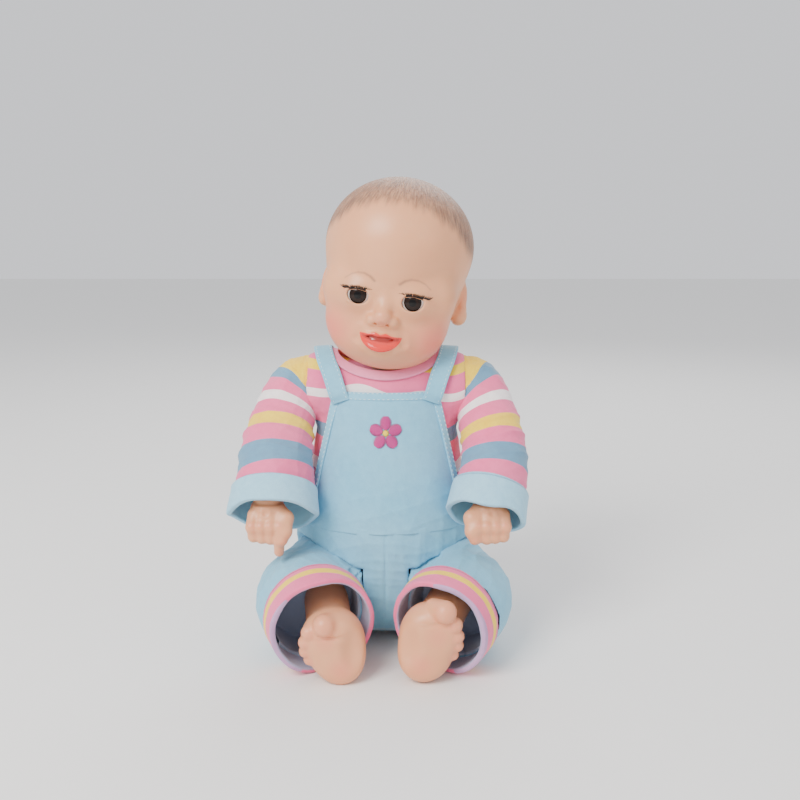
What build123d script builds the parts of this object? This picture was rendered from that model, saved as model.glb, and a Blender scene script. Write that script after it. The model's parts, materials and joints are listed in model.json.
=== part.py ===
from build123d import *

import math
import os

# A seated, dressed interactive baby doll, in millimetres. +Z is up, the doll faces -Y and its own
# left side is +X. The origin is on the flat of the seat, under the middle of the hips.

# ---- driving dimensions -------------------------------------------------------------------
CLOTH = 2.2                       # thickness of one layer of clothing
LAYERS = 2 * CLOTH                # shirt and dungarees together
RAISED = 0.8                      # how far a binding stands out of the dungarees
RUN = 0.05                        # radial clearance of a running fit
GAP = 0.6                         # clearance between soft parts that move past each other

# torso outline: height, half width, half depth, depth of the middle
TORSO = [(0, 64, 47, 4), (14, 73, 54, 2), (44, 76, 56, 0), (85, 69, 53, -2),
         (130, 61, 49, 0), (170, 54, 42, 2), (200, 48, 33, 4), (222, 34, 24, 5)]
YOKE_R, YOKE_HALF = 26, 50        # the padded bar across the shoulders
WAIST_Z, BIB_TOP_Z = 98, 199

# the bowl in the shoulders that the head turns in: height, half width, half depth
NECK_BOWL = [(209.5, 8, 12), (212, 20, 30), (219, 36, 52), (230, 46, 68), (243, 51, 74), (256, 50, 70)]
BOWL_Y = -3

NECK = Vector(0, 8, 230)          # where the head turns, nods and tilts
HEAD_YAW, HEAD_TILT, HEAD_NOD = -6, 8, 4                # how the head stands at rest, degrees
VINYL = 3                         # wall of the moulded head
SKIRT_R = 27                      # the head's neck, outside
# head outline in its own frame, from chin to crown: height, half width, front, back
HEAD = [(-9, 22, -44, 16), (-3, 31, -53, 29), (8, 43, -60, 38), (25, 50, -62.5, 47), (48, 54, -63, 56),
        (70, 58, -66, 62), (86, 59.5, -67, 64), (104, 56, -62, 61), (120, 45, -50, 51), (130, 31, -36, 37),
        (134.5, 17, -21, 21), (136.5, 6, -8, 8)]

EYE = Vector(20.5, -48.5, 48)     # eye centre, in the head's own frame
EYE_R = 12
EYE_ROOM = 0.9                    # clearance round an eye, for its lid
CUP_WALL = 1.3
RIM_R = 15.6                      # outside of the rims that hug the eyes
EYE_OPEN_X, EYE_OPEN_Z = 10.5, 9.0                      # half width and half height of an eye opening
LID_AT = 22                       # how high the edge of the open lid stands, degrees

SHOULDER = Vector(72, 2, 200)
SHOULDER_R = 25
STUD_END = 60
HIP = Vector(0, -24, 41.5)
HIP_R = 40
HIP_SIDE = 17.4                   # half width of the seat strip between the legs
HUB_X0, HUB_X1 = 19, 31
BACK_OF_LEGS_Y = 20

# tubes of cloth and limbs: distance out from the middle, depth, height, radius at each ring
SLEEVE = {
    "left": [(72, 0, 197, 22), (81, -14, 176, 23.5), (85, -33, 149, 25), (81, -48, 128, 27), (76, -62, 109, 28.5)],
    "right": [(72, 0, 197, 22), (82, -14, 176, 24.5), (86, -33, 148, 28), (86, -45, 127, 30.5), (86, -58, 109, 33)],
}
ARM = {
    "left": [(60, 2, 200, 10), (72, 0, 195, 13), (80, -16, 173, 15), (83, -32, 149, 15), (79, -58, 115, 12)],
    "right": [(60, 2, 200, 10), (72, 0, 195, 13), (81, -16, 173, 15), (85, -33, 148, 15), (89, -58, 115, 12)],
}
HAND = {"left": Vector(79, -64, 110), "right": Vector(89, -64, 110)}
TROUSER = {
    "left": [(55, -26, 41.5, 33), (61.5, -55, 41.5, 37), (49.5, -80, 39.5, 36.5), (39, -101, 36.5, 35)],
    "right": [(54, -26, 41.5, 35), (62, -55, 41.5, 39), (53, -80, 40.5, 38), (45, -101, 37.5, 37)],
}
THIGH = [(HUB_X1 + 0.3, -24, 41.5, 13), (44, -31, 41.5, 13), (53, -45, 41.5, 14)]
LEG = {
    "left": THIGH + [(55, -62, 41, 16), (36, -102, 33, 15)],
    "right": THIGH + [(58, -62, 41, 16), (41, -102, 33, 15)],
}
FOOT = [(0, 0.45), (8, 0.9), (15, 1), (22, 0.95), (27, 0.75)]      # from the ankle to the sole
SIDES = {"left": 1, "right": -1}

MODULE_X, MODULE_Y0, MODULE_Y1, MODULE_Z0, MODULE_Z1 = 29, -2, 38, 86, 166
WALL = 2
SPEAKER_Z = 128
CELL_R, CELL_LEN, CELL_PITCH, CELL_Z0 = 7.1, 50.5, 15, 95
DOOR_X, DOOR_Z0, DOOR_Z1, DOOR_T = 24, 90, 150, 2
SWITCH_Z, SWITCH_TRAVEL = 158, 4
BELLY_Y, BELLY_Z, BELLY_R = -48, 108, 10

ACROSS, FORE, UP = Vector(1, 0, 0), Vector(0, 1, 0), Vector(0, 0, 1)


# ---- small helpers ------------------------------------------------------------------------
def span(x0, x1, y0, y1, z0, z1):
    """A box between two corners."""
    middle = Pos((x0 + x1) / 2, (y0 + y1) / 2, (z0 + z1) / 2)
    return middle * Box(abs(x1 - x0), abs(y1 - y0), abs(z1 - z0))


def rod(centre, direction, radius, low, high):
    """A cylinder about a line, from low to high along it."""
    plane = Plane(origin=centre + direction * low, z_dir=direction)
    return extrude(plane * Circle(radius), high - low)


def ring(centre, direction, inner, outer, low, high):
    return rod(centre, direction, outer, low, high) - rod(centre, direction, inner, low - 1, high + 1)


def ball(centre, radius):
    return Pos(*centre) * Rot(0, 0, 135) * Sphere(radius)


def bowl(extra=0.0):
    """The hollow under the chin."""
    levels = [Plane.XY.offset(z) * Pos(0, BOWL_Y) * Ellipse(rx + extra, ry + extra) for z, rx, ry in NECK_BOWL]
    return loft(levels)


def pebble(centre, direction, half_a, half_b, stations):
    """A smooth lump through ellipses along a direction: stations are (distance, share of the full section)."""
    sections = []
    for distance, share in stations:
        plane = Plane(origin=centre + direction * distance, x_dir=(0, 0, 1), z_dir=direction)
        sections.append(plane * Ellipse(half_b * share, half_a * share))
    return loft(sections)


def tube(rings, side, extra=0.0, start=None, end=None):
    """A smooth limb through round sections, with chosen directions for its two end faces."""
    points = [Vector(side * x, y, z) for x, y, z, _ in rings]
    last = len(points) - 1
    sections = []
    for i, point in enumerate(points):
        along = points[min(i + 1, last)] - points[max(i - 1, 0)]
        if i == 0 and start:
            along = start
        if i == last and end:
            along = end
        sections.append(Plane(origin=point, z_dir=along) * Circle(rings[i][3] + extra))
    return loft(sections)


def capsule(a, b, radius_a, radius_b):
    """Two balls and the cone between them."""
    return ball(a, radius_a) + ball(b, radius_b) + frustum(a, b, radius_a, radius_b)


def grown(rings, extra):
    return [(x, y, z, r + extra) for x, y, z, r in rings]


def toward(rings, side):
    """Where the last stretch of a tube points."""
    (x0, y0, z0, _), (x1, y1, z1, _) = rings[-2:]
    return Vector(side * (x1 - x0), y1 - y0, z1 - z0).normalized()


def past_mouth(rings, distance):
    """The inside of a tube of cloth, a little way beyond its last ring but one."""
    x, y, z, radius = rings[-2]
    step = toward(rings, 1) * distance
    return (x + step.X, y + step.Y, z + step.Z, radius - CLOTH)


def frustum(a, b, radius_a, radius_b):
    """A cone between two points, with flat ends square to its axis."""
    return loft([Plane(origin=a, z_dir=b - a) * Circle(radius_a), Plane(origin=b, z_dir=b - a) * Circle(radius_b)])


def swivel_place():
    """From the neck's own upright frame to where the turning part stands at rest."""
    return Pos(*NECK) * Rot(0, 0, HEAD_YAW)


def cross_place():
    return swivel_place() * Rot(HEAD_NOD, 0, 0)


def head_place():
    return cross_place() * Rot(0, HEAD_TILT, 0)


# ---- torso, shirt and dungarees -----------------------------------------------------------
def torso_form(offset):
    """The torso outline moved out by offset all round, with room under it for the layers still to come."""
    sections = []
    for i, (z, rx, ry, cy) in enumerate(TORSO):
        level = z + LAYERS - min(offset, LAYERS) if i == 0 else z
        sections.append(Plane.XY.offset(level) * Pos(0, cy) * Ellipse(rx + offset, ry + offset))
    yoke = rod(Vector(0, SHOULDER.Y, SHOULDER.Z), ACROSS, YOKE_R + offset, -YOKE_HALF, YOKE_HALF)
    return loft(sections) + yoke


def torso_cuts():
    """Everything that no torso layer may fill: the legs, the shoulders and the bowl the head turns in."""
    cuts = [rod(HIP, ACROSS * s, HIP_R + 3 * GAP, HIP_SIDE, 110) for s in (1, -1)]
    cuts += [span(s * HIP_SIDE, s * 110, -90, BACK_OF_LEGS_Y, -10, HIP.Z) for s in (1, -1)]
    strip = span(-HIP_SIDE - 1, HIP_SIDE + 1, -90, HIP.Y, -10, HIP.Z)
    cuts.append(strip - rod(HIP, ACROSS, HIP_R - 2, -HIP_SIDE - 2, HIP_SIDE + 2))
    socket = Rot(0, 90, 0) * Sphere(SHOULDER_R + GAP)
    cuts += [Pos(s * SHOULDER.X, SHOULDER.Y, SHOULDER.Z) * socket for s in (1, -1)]
    for side, s in SIDES.items():
        (x0, y0, z0, r0), (x1, y1, z1, r1) = TROUSER[side][:2]
        reach = Vector(s * (x1 - x0), y1 - y0, z1 - z0) * 0.35
        thigh = [Vector(s * x0, y0, z0), Vector(s * x1, y1, z1) + reach]
        cuts.append(frustum(*thigh, r0 + 2 * GAP, r1 + 2.5 * GAP))
    cuts.append(bowl())
    return cuts


def window(grow=0.0):
    """The opening in the clothes behind the battery door and the switch."""
    x, z0, z1 = MODULE_X - 2 + grow, MODULE_Z0 + 2 - grow, MODULE_Z1 - 2 + grow
    return span(-x, x, MODULE_Y1 - 0.5, 80, z0, z1)


def bib_prism(inset=0.0):
    """The bib's outline, a trapezium from the waist to the straps, run forward through the chest."""
    top, low = BIB_TOP_Z - inset, WAIST_Z
    half_top, half_low = 41 - inset, 66 - inset
    face = Polygon((-half_low, low), (half_low, low), (half_top, top), (-half_top, top), align=None)
    return extrude(Plane.XZ * face, 90, dir=(0, -1, 0))


def strap_prism(side):
    """The slab a shoulder strap lies in: it spreads from the bib's corner to the shoulder and down the back."""
    front = Polygon((side * 20, 190), (side * 40, 190), (side * 59, 240), (side * 43, 240), align=None)
    back = Polygon((side * 29, 104), (side * 44, 104), (side * 59, 240), (side * 43, 240), align=None)
    level = Plane.XZ.offset(-SHOULDER.Y)
    return extrude(level * front, 90, dir=(0, -1, 0)) + extrude(level * back, 90, dir=(0, 1, 0))


def slab(z0, z1):
    return span(-120, 120, -90, 90, z0, z1)


def build_clothes(parts, cuts):
    cloth, shirt, outer = torso_form(0), torso_form(CLOTH), torso_form(LAYERS)
    over = outer - shirt
    shirt_top = slab(52, 250)
    shirt_layer = (shirt - cloth) & shirt_top
    low_seat = (outer & slab(-1, 52)) - cloth
    seat_band = over & slab(52, WAIST_Z)
    back_panel = over & span(-60, 60, BACK_OF_LEGS_Y, 90, WAIST_Z, 124)
    bib = over & bib_prism(6)
    binding = (torso_form(LAYERS + RAISED) - shirt) & (bib_prism() - bib_prism(6))
    hem = (torso_form(LAYERS + RAISED) - shirt) & (window(5) - window())
    collar = (torso_form(CLOTH + 1.6) - shirt) & slab(200, 250) & bowl(4)

    parts["shirt_body"] = shirt_layer
    parts["shirt_collar"] = collar
    parts["dungaree_seat"] = low_seat + seat_band + back_panel - window(5)
    parts["dungaree_bib"] = bib
    parts["bib_binding"] = binding
    parts["back_opening_hem"] = hem
    for side, s in SIDES.items():
        strap = over & strap_prism(s)
        parts[f"strap_{side}"] = strap - bib_prism() - span(-70, 70, 0, 90, 80, 124) - window(5) - collar
    for name in list(parts):
        for cut in cuts + [window()]:
            parts[name] = parts[name] - cut
    return outer


def build_stuffed_torso(parts, cuts):
    """The stuffed cloth body, hollow where the sound module, press pad and joints are sewn in."""
    body = torso_form(0)
    for cut in cuts + [window()]:
        body = body - cut
    body = body - span(-MODULE_X, MODULE_X, MODULE_Y0, MODULE_Y1, MODULE_Z0, MODULE_Z1)
    pad_centre = Vector(0, BELLY_Y, BELLY_Z)
    body = body - rod(pad_centre, FORE, BELLY_R + 4.6, -12, 16.4)
    body = body - rod(pad_centre + Vector(10, 0, 0), FORE, 1.3, 16, MODULE_Y0 - BELLY_Y + 1)
    neck_axis = Vector(0, NECK.Y, 0)
    body = body - rod(neck_axis, UP, 19, 199, 216) - rod(neck_axis, UP, 8.5, 191, 200)
    body = body - rod(HIP, ACROSS, 5, -30, 30)
    shoulder_axis = Vector(0, SHOULDER.Y, SHOULDER.Z)
    for s in SIDES.values():
        body = body - rod(shoulder_axis, ACROSS * s, 4.3, 30, 62) - rod(shoulder_axis, ACROSS * s, 13.1, 33, 40.5)
    parts["body_cloth"] = body


def build_trim(parts, outer):
    """Buttons on the back straps and the small stitched flower on the bib."""
    lens = torso_form(LAYERS + 2.2) - outer
    buttons = []
    for s in SIDES.values():
        buttons += (rod(Vector(s * 38, 0, 133), FORE, 6, 20, 70) & lens).solids()
    parts["strap_buttons"] = Compound(buttons)
    flower = rod(Vector(0, 0, 172), FORE, 5, -70, -20)
    for i in range(5):
        angle = math.radians(90 + 72 * i)
        flower = flower + rod(Vector(7 * math.cos(angle), 0, 172 + 7 * math.sin(angle)), FORE, 4, -70, -20)
    parts["bib_flower"] = flower & (torso_form(LAYERS + RAISED) - outer)


# ---- sound module in the back -------------------------------------------------------------
def build_module_case(parts):
    x, y0, y1, z0, z1 = MODULE_X, MODULE_Y0, MODULE_Y1, MODULE_Z0, MODULE_Z1
    split = y0 + 16
    front = span(-x, x, y0, split, z0, z1)
    front = front - span(-x + WALL, x - WALL, y0 + WALL, split + 1, z0 + WALL, z1 - WALL)
    for column in range(-3, 4):
        for row in range(-3, 4):
            if column * column + row * row <= 10:
                hole = Vector(4.5 * column, y0, SPEAKER_Z + 4.5 * row)
                front = front - rod(hole, FORE, 1.1, -1, WALL + 1)
    front = front - rod(Vector(10, y0, BELLY_Z), FORE, 1.3, -1, WALL + 1)
    parts["module_front"] = front

    rear = span(-x, x, split, y1, z0, z1)
    rear = rear - span(-x + WALL, x - WALL, split - 1, y1 - WALL, z0 + WALL, z1 - WALL)
    rear = rear - span(-DOOR_X - 0.3, DOOR_X + 0.3, y1 - 3, y1 + 1, DOOR_Z0 - 0.3, DOOR_Z1 + 0.3)
    rear = rear + span(-x + WALL, x - WALL, split + 5, split + 6.6, z0 + WALL, DOOR_Z1 + 2)
    slot = 4 + SWITCH_TRAVEL / 2
    rear = rear - span(-slot, slot, y1 - 3, y1 + 1, SWITCH_Z - 2.2, SWITCH_Z + 2.2)
    hinge = Vector(0, y1 - 1.2, DOOR_Z0 + 1.2)
    for s in SIDES.values():
        rear = rear - rod(hinge, ACROSS * s, 0.6 + RUN, DOOR_X, DOOR_X + 2)
    parts["module_rear"] = rear

    plate = span(-DOOR_X, DOOR_X, y1 - DOOR_T, y1, hinge.Z, DOOR_Z1)
    plate = plate + rod(hinge, ACROSS, 1.15, -DOOR_X, DOOR_X) + rod(hinge, ACROSS, 0.6, -DOOR_X - 1.6, DOOR_X + 1.6)
    screw = Vector(0, y1, DOOR_Z1 - 5)
    plate = plate - rod(screw, FORE, 2.6, -0.8, 1) - rod(screw, FORE, 1.3, -4, 1)
    for i in range(6):
        z = DOOR_Z0 + 10 + 5 * i
        plate = plate - span(-9, 9, y1 - 0.6, y1 + 1, z, z + 1.6)
    parts["battery_door"] = plate
    head = rod(screw, FORE, 2.4, -0.75, -0.1) - span(-3, 3, y1 - 0.5, y1 + 1, screw.Z - 0.4, screw.Z + 0.4)
    parts["door_screw"] = rod(screw, FORE, 1.25, -DOOR_T - 0.3, -0.7) + head


def build_electronics(parts):
    x, y0, y1, z0, z1 = MODULE_X, MODULE_Y0, MODULE_Y1, MODULE_Z0, MODULE_Z1
    cell_y = y1 - 9.6
    cells, contacts = [], []
    for i in (-1, 0, 1):
        axis = Vector(CELL_PITCH * i, cell_y, CELL_Z0)
        cells.append(rod(axis, UP, CELL_R, 0, CELL_LEN - 1.5) + rod(axis, UP, 2.7, CELL_LEN - 1.5, CELL_LEN))
        for level in (-4.5, CELL_LEN):
            z = CELL_Z0 + level
            contacts.append(span(axis.X - 5, axis.X + 5, cell_y - 5, cell_y + 5, z, z + 0.5))
        contacts += [ring(axis, UP, 2.8, 4 - 0.4 * i, 1.2 * i - 3.6, 1.2 * i - 3) for i in range(3)]
    parts["batteries"] = Compound(cells)
    parts["battery_contacts"] = Compound(contacts)

    board_y = y0 + 15.2
    board = span(-x + 4, x - 4, board_y, board_y + 1.6, z0 + 3, z1 - 3)
    board = board + span(-18, -8, board_y + 1.6, board_y + 3.2, z1 - 12, z1 - 5)
    board = board + span(4, 12, board_y + 1.6, board_y + 3, z1 - 11, z1 - 7)
    board = board + span(-14, -5, board_y - 1.6, board_y, z0 + 8, z0 + 15)
    board = board + rod(Vector(20, board_y - 2.6, 0), UP, 3, z1 - 18, z1 - 6)
    switch = span(-8, 8, y1 - 9, y1 - 3.1, SWITCH_Z - 3, SWITCH_Z + 3)
    parts["circuit_board"] = Compound([board, switch])

    cone = Vector(0, y0 + WALL, SPEAKER_Z)
    speaker = ring(cone, FORE, 15.5, 18, 0, 1) + rod(cone, FORE, 18, 1, 2.5)
    speaker = speaker + frustum(cone + FORE * 2.5, cone + FORE * 7, 16, 9) + rod(cone, FORE, 9, 7, 11)
    parts["speaker"] = speaker
    screws = []
    for sx in (1, -1):
        for z in (z0 + 5.5, z1 - 5.5):
            spot = Vector(sx * (x - 4.5), y0, z)
            screws.append(rod(spot, FORE, 2.2, 4, 6) + rod(spot, FORE, 1.2, 6, 15))
    parts["case_screws"] = Compound(screws)
    knob = span(-3.5, 3.5, y1 - 2.8, y1 - 2.1, SWITCH_Z - 2, SWITCH_Z + 2)
    knob = knob + span(-1.5, 1.5, y1 - 2.1, y1 + 1.5, SWITCH_Z - 1.8, SWITCH_Z + 1.8)
    parts["power_slider"] = Pos(-SWITCH_TRAVEL / 2, 0, 0) * knob


def build_belly_button(parts):
    """The press pad under the bib, its housing, return spring and lead."""
    at = Vector(0, BELLY_Y, BELLY_Z)
    housing = rod(at, FORE, BELLY_R + 4.4, 0, 16) - rod(at, FORE, BELLY_R + 0.5, -1, 12)
    parts["belly_housing"] = housing + ring(at, FORE, BELLY_R - 2, BELLY_R + 4.4, -0.8, 0)
    pad = rod(at, FORE, BELLY_R, 0.1, 2) + rod(at, FORE, BELLY_R - 2.4, -1.2, 0.1) + rod(at, FORE, 2.4, 2, 8)
    parts["belly_pad"] = pad
    turns = [ring(at, FORE, 3.6, 4.6, 2.2 + 2.4 * i, 3.2 + 2.4 * i) for i in range(4)]
    spring = turns[0] + turns[1:]
    for i in range(3):
        y = BELLY_Y + 3.1 + 2.4 * i
        spring = spring + span(3.7, 4.5, y, y + 1.6, BELLY_Z - 0.4, BELLY_Z + 0.4)
    parts["belly_spring"] = spring
    parts["belly_lead"] = rod(at + Vector(10, 0, 0), FORE, 0.9, 16, MODULE_Y0 - BELLY_Y + 9)


# ---- neck ---------------------------------------------------------------------------------
def build_neck(parts):
    """A turning shaft, a cross of two pins to nod and tilt on, and the fork the head is fixed to."""
    zero = Vector(0, 0, 0)
    parts["neck_plug"] = ring(NECK, UP, 5 + RUN, 18.8, -31, -19)
    swivel = rod(zero, UP, 5, -34, -16) + rod(zero, UP, 7.5, -37, -31.2) + rod(zero, UP, 12, -18.8, -15.8)
    for s in SIDES.values():
        swivel = swivel + span(s * 8.6, s * 11.6, -4, 4, -16, 2.5)
    parts["neck_swivel"] = swivel_place() * (swivel - rod(zero, ACROSS, 2 + RUN, -13, 13))
    cross = Box(10, 10, 9) + rod(zero, ACROSS, 2, -12.4, 12.4) + rod(zero, FORE, 2, -12.4, 12.4)
    parts["neck_cross"] = cross_place() * cross
    fork = rod(zero, UP, SKIRT_R - VINYL - 0.2, 10, 13)
    for s in SIDES.values():
        fork = fork + span(-4, 4, s * 8.6, s * 11.6, -2.5, 10)
    parts["head_fork"] = head_place() * (fork - rod(zero, FORE, 2 + RUN, -13, 13))


# ---- head and eyes, in the head's own frame -----------------------------------------------
def head_form(shrink):
    """The head's outline from chin to crown, moved in by shrink."""
    levels = []
    for z, half, front, back in HEAD:
        if half > shrink + 2:
            level = z + (shrink if z < 0 else 0) - (shrink if z > 125 else 0)
            oval = Ellipse((back - front) / 2 - shrink, half - shrink)
            levels.append(Plane(origin=(0, (front + back) / 2, level), x_dir=(0, 1, 0), z_dir=(0, 0, 1)) * oval)
    return loft(levels)


def build_head(parts):
    place = head_place()
    zero = Vector(0, 0, 0)
    shell = head_form(0) + rod(zero, UP, SKIRT_R, -9, 30)
    shell = shell + ball((0, -61, 33), 9) + capsule(Vector(-8, -57, 14), Vector(8, -57, 14), 6, 6)
    for s in SIDES.values():
        ear = pebble(Vector(s * 46, 4, 51), ACROSS * s, 10, 17, [(0, 0.7), (10, 0.9), (15, 1), (18, 0.8)])
        rim = ball((s * EYE.X, EYE.Y, EYE.Z), RIM_R) - span(-60, 60, EYE.Y + 3, 0, 0, 90)
        shell = shell + ear + rim
    shell = shell - head_form(VINYL) - rod(zero, UP, SKIRT_R - VINYL, -30, 30)
    cases = []
    for side, s in SIDES.items():
        centre = Vector(s * EYE.X, EYE.Y, EYE.Z)
        opening = Plane(origin=centre, z_dir=(0, -1, 0)) * Ellipse(EYE_OPEN_X, EYE_OPEN_Z)
        seat = ball(centre, EYE_R + EYE_ROOM + CUP_WALL + 0.1) & span(-60, 60, EYE.Y - 2, 0, 0, 90)
        shell = shell - extrude(opening, 30) - ball(centre, EYE_R + EYE_ROOM) - seat
        at = Pos(*centre)
        for name, piece in build_eye().items():
            parts[f"{name}_{side}"] = place * at * piece
        cases += (place * at * build_eye_case()).solids()
    parts["head_shell"] = place * shell
    parts["eye_cases"] = Compound(cases)


def build_eye():
    """One weighted sleep eye about its own centre, looking along -Y."""
    zero = Vector(0, 0, 0)
    globe = ball(zero, EYE_R) + rod(zero, ACROSS, 1.2, -14, 14) - rod(zero, -FORE, 7.2, 9.4, 14)
    iris = ball(zero, EYE_R) & rod(zero, -FORE, 7.15, 9.4, 14)
    arm = span(-1.5, 1.5, EYE_R - 1, EYE_R + 4, -9, -2)
    globe = globe - arm
    weight = rod(Vector(0, EYE_R + 2.5, -10), ACROSS, 4, -6, 6) + arm
    shell = ball(zero, EYE_R + 0.45) - ball(zero, EYE_R)
    upper = Rot(-LID_AT, 0, 0) * span(-15, 15, -15, 15, 0, 15)
    lid = (shell & upper) - span(-15, 15, 6, 15, -15, 15) - rod(zero, ACROSS, 1.3, -16, 16)
    edge = ball(zero, EYE_R + 0.8) - ball(zero, EYE_R + 0.45)
    lashes = edge & (Rot(-LID_AT, 0, 0) * span(-8, 8, -15, 0, 0.2, 1.4))
    for i in range(-4, 5):
        fan = math.radians(12 * i)
        raise_by = math.radians(LID_AT + 3)
        aim = Vector(math.sin(fan) * 0.38, -math.cos(raise_by) * math.cos(fan * 0.6), math.sin(raise_by)).normalized()
        lashes = lashes + frustum(aim * (EYE_R + 0.55), aim * (EYE_R + 5.5), 0.4, 0.1)
    return {"eye_globe": globe, "eye_iris": iris, "eye_weight": weight, "eyelid": lid, "eyelashes": lashes}


def build_eye_case():
    """The cup an eye rocks in, open at the front and with a slot for the weight behind."""
    zero = Vector(0, 0, 0)
    cup = ball(zero, EYE_R + EYE_ROOM + CUP_WALL) - ball(zero, EYE_R + EYE_ROOM)
    cup = cup & span(-16, 16, -1.9, 9, -16, 16)
    return cup - rod(zero, ACROSS, 1.2 + RUN, -16, 16)


# ---- arms ---------------------------------------------------------------------------------
def build_hand(side, s):
    """A half-closed fist with curled fingers and a thumb."""
    middle = HAND[side]
    centre = Vector(s * middle.X, middle.Y, middle.Z)
    hand = capsule(centre - ACROSS * 4, centre + ACROSS * 4, 12.5, 12.5)
    for i in range(4):
        across = 7 * i - 10.5
        knuckle = centre + Vector(s * across * 0.95, -8, -5)
        hand = hand + capsule(knuckle, centre + Vector(s * across * 0.8, -3, -13), 4.6, 3.8)
    thumb = centre + Vector(-s * 12, -6, 3)
    return hand + capsule(thumb, centre + Vector(-s * 14, -13, -6), 5, 4)


def build_arm(parts, side, s):
    out = ACROSS * s
    rings = SLEEVE[side]
    shoulder_axis = Vector(0, SHOULDER.Y, SHOULDER.Z)
    aim = toward(rings, s)
    cavity = grown(ARM[side], 1.5)[:-2]
    cavity += [(*rings[2][:3], rings[2][3] - CLOTH - 5), past_mouth(rings, 3)]
    outer = ball((s * SHOULDER.X, SHOULDER.Y, SHOULDER.Z), SHOULDER_R) + tube(rings[:-1], s, end=aim)
    sleeve = outer - tube(cavity, s, start=out, end=aim) - rod(shoulder_axis, out, 4.2, 40, 64)
    a, b = (Vector(s * x, y, z) for x, y, z, _ in rings[-2:])
    (_, _, _, ra), (_, _, _, rb) = rings[-2:]
    cuff = frustum(a, b, ra + 0.4, rb) - frustum(a - aim, b + aim, ra - CLOTH, rb - CLOTH)
    parts[f"sleeve_{side}"] = sleeve
    parts[f"sleeve_cuff_{side}"] = cuff
    parts[f"arm_{side}"] = tube(ARM[side], s, start=out) + build_hand(side, s)
    stud = rod(shoulder_axis, out, 4, 36.8, STUD_END) + rod(shoulder_axis, out, 9, 34, 36.8)
    parts[f"shoulder_stud_{side}"] = stud
    return ring(shoulder_axis, out, 4 + RUN, 13, 37, 40.4)


# ---- legs ---------------------------------------------------------------------------------
def build_foot(side):
    """A plump foot with its sole to the front: the big toe stands on top, the others go down the outside."""
    if side == "right":
        foot = pebble(Vector(-36, -97, 27), -FORE, 23, 26.5, FOOT)
        toes = [(-44, -117, 47, 8), (-54, -115, 40, 6), (-57, -114, 32, 5.4), (-57, -112, 24.5, 5), (-54, -111, 17, 4.6)]
    else:
        foot = pebble(Vector(31, -97, 30), -FORE, 22, 29.5, FOOT)
        toes = [(43, -117, 57, 8.5), (50, -115, 46, 6), (52, -114, 37, 5.4), (52, -112, 29, 5), (49, -111, 21, 4.6)]
    for x, y, z, r in toes:
        foot = foot + ball((x, y, z), r)
    return foot


def build_leg(parts, side, s):
    out = ACROSS * s
    rings = TROUSER[side]
    aim = toward(rings, s)
    drum = rod(HIP, out, HIP_R, HIP_SIDE + GAP, 76)
    rim = drum.edges().filter_by(GeomType.CIRCLE).sort_by(Axis.X)[-1 if s > 0 else 0]
    outer = fillet(rim, 24) + tube(rings[:-1], s, end=aim)
    cavity = grown(LEG[side], 3)[:-1]
    cavity.append(past_mouth(rings, 3))
    trouser = outer - rod(HIP, out, 20.6, 15, HUB_X1 + 3) - tube(cavity, s, start=out, end=aim)
    a, b = (Vector(s * x, y, z) for x, y, z, _ in rings[-2:])
    (_, _, _, ra), (_, _, _, rb) = rings[-2:]
    cuff = frustum(a, b, ra + 1.4, rb + 1) - frustum(a - aim, b + aim, ra - CLOTH, rb - CLOTH)
    parts[f"trouser_leg_{side}"] = trouser
    parts[f"trouser_cuff_{side}"] = cuff
    parts[f"leg_{side}"] = tube(LEG[side], s, start=out) + build_foot(side)
    hub = ring(HIP, out, 5 + RUN, 20, HUB_X0, HUB_X1) - rod(HIP, out, 9.6, 25.2, HUB_X1 + 1)
    parts[f"hip_hub_{side}"] = hub


def build():
    parts = {}
    cuts = torso_cuts()
    outer = build_clothes(parts, cuts)
    build_stuffed_torso(parts, cuts)
    build_trim(parts, outer)
    build_module_case(parts)
    build_electronics(parts)
    build_belly_button(parts)
    build_neck(parts)
    build_head(parts)
    parts["shoulder_washers"] = Compound([build_arm(parts, side, s) for side, s in SIDES.items()])
    for side, s in SIDES.items():
        build_leg(parts, side, s)
    parts["hip_shaft"] = rod(HIP, ACROSS, 5, -27, 27)
    parts["hip_caps"] = Compound([ring(HIP, ACROSS * s, 5, 9, 25.4, 27) for s in SIDES.values()])
    return parts


os.makedirs("parts", exist_ok=True)
for name, shape in build().items():
    pieces = list(shape.solids())
    export_step(pieces[0] if len(pieces) == 1 else Compound(pieces), f"parts/{name}.step")
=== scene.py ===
import json
import math

import bmesh
import bpy
import numpy as np
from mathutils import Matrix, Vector


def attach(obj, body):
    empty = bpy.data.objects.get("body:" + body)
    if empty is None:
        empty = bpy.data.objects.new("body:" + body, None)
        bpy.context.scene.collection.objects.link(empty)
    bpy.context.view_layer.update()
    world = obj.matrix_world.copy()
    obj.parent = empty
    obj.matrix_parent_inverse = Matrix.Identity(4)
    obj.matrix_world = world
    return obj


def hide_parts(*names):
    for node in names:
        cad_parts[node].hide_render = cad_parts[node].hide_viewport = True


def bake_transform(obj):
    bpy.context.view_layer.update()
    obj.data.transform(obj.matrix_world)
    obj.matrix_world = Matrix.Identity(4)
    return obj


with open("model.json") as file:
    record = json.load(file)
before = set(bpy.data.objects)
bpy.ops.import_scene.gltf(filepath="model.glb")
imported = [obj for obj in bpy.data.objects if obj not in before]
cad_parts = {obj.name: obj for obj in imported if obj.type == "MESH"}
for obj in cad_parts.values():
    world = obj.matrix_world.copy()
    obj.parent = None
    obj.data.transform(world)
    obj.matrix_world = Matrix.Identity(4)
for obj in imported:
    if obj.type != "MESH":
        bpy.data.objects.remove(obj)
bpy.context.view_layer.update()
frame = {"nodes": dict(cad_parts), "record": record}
joints = {j["name"]: j for j in frame["record"]["behaviour"]["joints"]}
rng = np.random.default_rng(7)
MM = 0.001
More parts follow.
